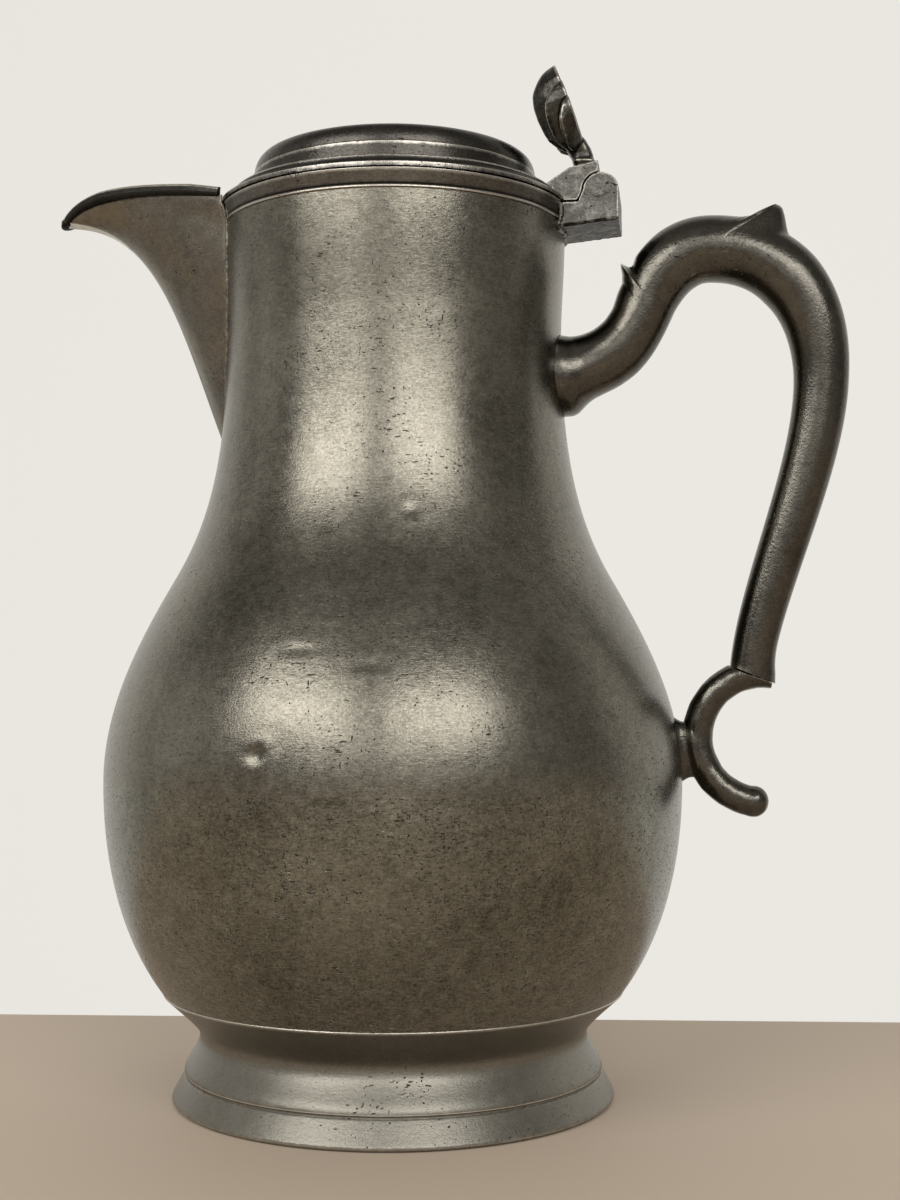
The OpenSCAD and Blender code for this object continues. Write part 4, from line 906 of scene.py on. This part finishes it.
# Dark and smooth, with long sharp highlights that the grain of the casting breaks up
handle_finish = aged_pewter(
    "cast pewter, handle", "#44423d", "#66635c", "#b4b0a8", rough=0.09, pits=0.3, dashes=0.0, gouges=0.2,
    streaks=0.3, cloud_mm=25, grain=0.45)
handle.data.materials.append(handle_finish)
finish_piece(handle, "vessel", ["handle_scroll"], crisp=50, worn=0.7)

tail = cast_copy("handle_tail", 0.35, 4, handle_finish)
roughen(tail, 5.0, 0.15, 2)
finish_piece(tail, "vessel", ["handle_tail"], crisp=60, worn=0.3)
boss_h, boss_w, boss_drop, boss_sink, boss_square, boss_rows, boss_sides = 20.6, 9.6, 4, 0.3, 0.8, 16, 64


def pad_point(k, a):
    """A point round the pad, at a share of the way from the belly to the middle of the C-scroll."""
    waist = 1.04 - 0.16 * math.sin(math.pi * min(1, 1.4 * k))
    c, s = math.cos(a), math.sin(a)
    y = boss_w / 2 * waist * math.copysign(abs(c) ** boss_square, c)
    z = tail_z - boss_drop + boss_h / 2 * waist * math.copysign(abs(s) ** boss_square, s)
    belly_x = math.sqrt((body_r(z) - boss_sink) ** 2 - y ** 2)
    scroll_x = tail_x - math.sqrt(tail_bend_r ** 2 - (z - tail_z) ** 2)
    return (between(belly_x, scroll_x, k), y, z)


pad = new_piece("handle_boss_cast", *loft([
    [pad_point(k / boss_rows, 2 * math.pi * j / boss_sides) for j in range(boss_sides)]
    for k in range(boss_rows + 1)]))
pad.data.materials.append(handle_finish)
finish_piece(pad, "vessel", ["handle_boss"], crisp=60, worn=0.2)

# Lid: a turned shell with a thin flange, a hollow moulding and a low drum with a soft round edge. A ring
# soldered under it fits inside the mouth.
lid_z, flange_r, flange_t, cove_r, drum_z, drum_r, round_z = 292.8, 59, 1.4, 55.2, 297.2, 47.9, 304
dome_z, dome_h, drum_step, drum_round_w, lid_wall = 310.6, 1.6, 0.5, 4.6, 2.2
bezel_r, bezel_h, bezel_t = 54.4, 6.4, 1.8
top_r, inner_r = drum_r - drum_step - drum_round_w, drum_r - drum_step - lid_wall
flange_z = lid_z + flange_t
lid_outside = eased(
    [(flange_r, lid_z), (flange_r, flange_z)]
    + curve([(flange_r - 0.3, flange_z + 0.05), (57.1, flange_z), (cove_r, 295.04), (cove_r, drum_z)])
    + [(cove_r - drum_step, drum_z + drum_step), (drum_r, drum_z + drum_step), (drum_r, round_z)]
    + curve([(drum_r - drum_step, round_z), (drum_r - drum_step, 308.1), (45.6, dome_z), (top_r, dome_z)])
    + curve([(top_r, dome_z), (top_r / 2, dome_z + dome_h), (0, dome_z + dome_h)])[1:], 0.22, False)
lid_inside = [np.array(p) for p in [
    (0, dome_z - lid_wall), (inner_r - drum_round_w, dome_z - lid_wall), (inner_r, round_z), (inner_r, lid_z),
    (flange_r, lid_z)]]
# Dark turned metal with fine level streaks, scratches and bright corners
lid_finish = aged_pewter(
    "turned pewter, lid", "#363431", "#524f4b", "#cfcac0", rough=0.23, pits=0.4, dashes=0.3, gouges=0.7)
lid = turn("lid", spaced(lid_outside, 1.3, False) + spaced(lid_inside, 3, False), lid_finish, sway=0.2,
           closed=False)
finish_piece(lid, "lid", ["lid_cover"], worn=0.5, held=0.3, blur=1)
bezel_profile = eased([
    (bezel_r - bezel_t, lid_z - bezel_h), (bezel_r, lid_z - bezel_h), (bezel_r, lid_z),
    (bezel_r - bezel_t, lid_z)], 0.3)
bezel = turn("lid_bezel", spaced(bezel_profile, 2), inside_finish, sway=0.1)
finish_piece(bezel, "lid", ["lid_bezel"])

# Lid strap: a leaf of cast pewter, soldered to the lid's flange. Its knuckle turns on the pin between the
# bracket's two ears, and it has the same rough, whitish skin.
leaf = cast_copy("lid_leaf", 0.3, 4, hinge_finish)
roughen(leaf, 3.0, 0.12, 4)
finish_piece(leaf, "lid", ["lid_leaf"], crisp=60, worn=0.6)

# Thumbpiece: a five-lobed shell, cast in pewter and soldered to the strap, for the thumb that opens the
# lid. Its lobes swell forward from a flat back and meet in fine ridges at the stem.
shell_x, shell_z, shell_lean, lobe_start = 61.9, 319.1, math.radians(20), -5.5
lobe_rows, lobe_half_sides, lobe_round, back_sides = 40, 12, 1.7, 6
lobe_front, lobe_back, stem_sides, stem_square, stem_gap = -0.2, -0.5, 32, 0.7, 0.05
strap_end_x, strap_end_z, strap_slope = 69.2, 305.6, 0.21

# Shares of a lobe's depth and width along it, then each lobe's fan angle, length, depth, half width and
# roll, and the stem's levels with their height, place, half depth and half width
lobe_deep = [(0, 0.5), (0.09, 0.73), (0.2, 0.9), (0.3, 0.96), (0.47, 1), (0.63, 0.98), (0.74, 0.91),
             (0.8, 0.83), (0.89, 0.62), (0.95, 0.42), (0.985, 0.22), (1, 0.03)]
lobe_wide = [(0, 0.3), (0.1, 0.42), (0.3, 0.7), (0.5, 0.92), (0.65, 1), (0.8, 0.9), (0.9, 0.69), (0.96, 0.45),
             (0.985, 0.28), (1, 0.03)]
lobes = [(0, 29.4, 11.4, 6.4, 0), (27, 22.8, 9.6, 5.2, 26), (-27, 22.8, 9.6, 5.2, -26),
         (45, 19.0, 8.0, 3.9, 48), (-45, 19.0, 8.0, 3.9, -48)]
stem = [(305.0, 64.2, 3.4, 4.5), (307.0, 64.1, 3.5, 4.0), (308.2, 64.0, 3.9, 4.4), (309.4, 63.5, 3.7, 3.9),
        (311.0, 63.0, 3.9, 3.9), (313.0, 61.9, 4.2, 4.3), (315.5, 60.4, 4.2, 4.8), (318.0, 58.8, 3.4, 4.4)]


def lobe_loop(s, fan, long, deep, wide, roll):
    """One section of a lobe, at a share of its length: a ridged front and a flat back."""
    fan, roll = math.radians(fan), math.radians(roll)
    deep *= float(np.interp(s, *zip(*lobe_deep)))
    wide *= float(np.interp(s, *zip(*lobe_wide)))
    loop = []
    for k in range(-lobe_half_sides, lobe_half_sides + 1):
        q = k / lobe_half_sides
        out, side = deep * (1 - abs(q) ** lobe_round), wide * q
        loop.append((side * math.cos(roll) + out * math.sin(roll),
                     max(lobe_front, out * math.cos(roll) - side * math.sin(roll))))
    loop += [(wide * k / back_sides * math.cos(roll), lobe_back)
             for k in range(back_sides - 1, -back_sides, -1)]
    points = []
    for side, out in loop:
        up = lobe_start + s * long * math.cos(fan) - side * math.sin(fan)
        across = s * long * math.sin(fan) + side * math.cos(fan)
        points.append((shell_x - up * math.sin(shell_lean) - out * math.cos(shell_lean), across,
                       shell_z + up * math.cos(shell_lean) - out * math.sin(shell_lean)))
    return points


def stem_loop(z, x, half_x, half_y):
    """One level of the stem, a rounded square, kept above the strap that slopes under it."""
    loop = []
    for k in range(stem_sides):
        a = 2 * math.pi * k / stem_sides
        c, s = math.cos(a), math.sin(a)
        px = x + half_x * math.copysign(abs(c) ** stem_square, c)
        loop.append((px, half_y * math.copysign(abs(s) ** stem_square, s),
                     max(z, strap_end_z - (strap_end_x - px) * strap_slope + stem_gap)))
    return loop


thumb_forms = [loft([lobe_loop(k / lobe_rows, *lobe) for k in range(lobe_rows + 1)]) for lobe in lobes]
thumb_forms.append(loft([stem_loop(*place) for place in stem]))
thumb_points, thumb_faces = [], []
for points, faces in thumb_forms:
    thumb_faces += [tuple(i + len(thumb_points) for i in face) for face in faces]
    thumb_points += points
thumb = new_piece("thumbpiece_shell", thumb_points, thumb_faces)
# Dark casting, darkest in its flutes and brightest on its ridges
thumb_finish = aged_pewter(
    "cast pewter, thumbpiece", "#363532", "#52504b", "#bdb8ad", rough=0.25, pits=0.3, dashes=0.0, gouges=0.2,
    streaks=0.2, cloud_mm=12, grain=0.5)
clean(thumb)
fuse_and_soften(thumb, 0.26, 3, thumb_finish)
roughen(thumb, 2.5, 0.08, 5)
finish_piece(thumb, "lid", ["thumbpiece"], crisp=60, worn=0.6)

# Set: a plain pale floor that ends behind the flagon, a pale room with a greyer middle, and four soft
# lamps: two side by side in front like windows, a low fill between them and a weak one to the left.
floor_half, floor_back, floor_turn, floor_z = 4000, 120, math.tan(math.radians(5.6)), -0.1
floor = new_piece("floor", [
    (-floor_half, -floor_half, floor_z), (floor_half, -floor_half, floor_z),
    (floor_half, floor_back + floor_half * floor_turn, floor_z),
    (-floor_half, floor_back - floor_half * floor_turn, floor_z)], [(0, 1, 2, 3)])
floor_finish = bpy.data.materials.new("matt pale floor")
floor_finish.use_nodes = True
floor_skin = floor_finish.node_tree.nodes["Principled BSDF"]
floor_skin.inputs["Base Color"].default_value = rgb("#c9b8a6")
floor_skin.inputs["Roughness"].default_value = 0.7
floor.data.materials.append(floor_finish)

world = bpy.data.worlds.new("pale room")
bpy.context.scene.world = world
world.use_nodes = True
room = world.node_tree
room.nodes.clear()
toward = add(room, "ShaderNodeTexCoord").outputs["Generated"]
toward = add(room, "ShaderNodeSeparateXYZ", {0: toward}).outputs["Y"]
toward = add(room, "ShaderNodeMapRange", {0: toward, 1: -1.0, 2: 1.0})
shades = add(room, "ShaderNodeValToRGB", {0: toward})
stops = [(0.0, "#aeaba6"), (0.25, "#a5a29d"), (0.38, "#918e88"), (0.58, "#8a8781"), (0.68, "#dedbd4"),
         (1.0, "#ebe8e2")]
while len(shades.color_ramp.elements) < len(stops):
    shades.color_ramp.elements.new(0.5)
for stop, (stop_at, shade) in zip(shades.color_ramp.elements, stops):
    stop.position, stop.color = stop_at, rgb(shade)
light = add(room, "ShaderNodeBackground", {"Color": shades, "Strength": 1.0})
add(room, "ShaderNodeOutputWorld", {"Surface": light})

lamp_away, lamp_aim, lamp_colour = 2.0, Vector((0, 0, 0.17)), (1.0, 0.983, 0.955)
for name, around, high, size, watts in (
        ("window lamp left", -31, 27, (1.5, 0.6), 14.6), ("window lamp right", 28, 27, (1.35, 0.6), 12.8),
        ("fill lamp", 2, 12, (2.4, 0.6), 3.5), ("side lamp", -84, 14, (0.8, 1.2), 1.2)):
    lamp = bpy.data.lights.new(name, "AREA")
    lamp.shape, lamp.size, lamp.size_y, lamp.energy = "RECTANGLE", *size, watts
    lamp.color = lamp_colour
    holder = bpy.data.objects.new(name, lamp)
    around, high = math.radians(around), math.radians(high)
    holder.location = lamp_aim + lamp_away * Vector((
        math.sin(around) * math.cos(high), -math.cos(around) * math.cos(high), math.sin(high)))
    holder.rotation_euler = (lamp_aim - holder.location).to_track_quat("-Z", "Y").to_euler()
    bpy.context.scene.collection.objects.link(holder)

camera_away, camera_round, camera_z = 0.5715, math.radians(10), 0.140
camera = bpy.data.cameras.new("camera")
camera.sensor_fit, camera.sensor_height, camera.lens = "VERTICAL", 36, 51.18
viewer = bpy.data.objects.new("camera", camera)
viewer.location = (camera_away * math.sin(camera_round), -camera_away * math.cos(camera_round), camera_z)
viewer.rotation_euler = (math.radians(92.3), 0, math.radians(8.14))
bpy.context.scene.collection.objects.link(viewer)
bpy.context.scene.camera = viewer
bpy.context.scene.view_settings.view_transform = "Standard"
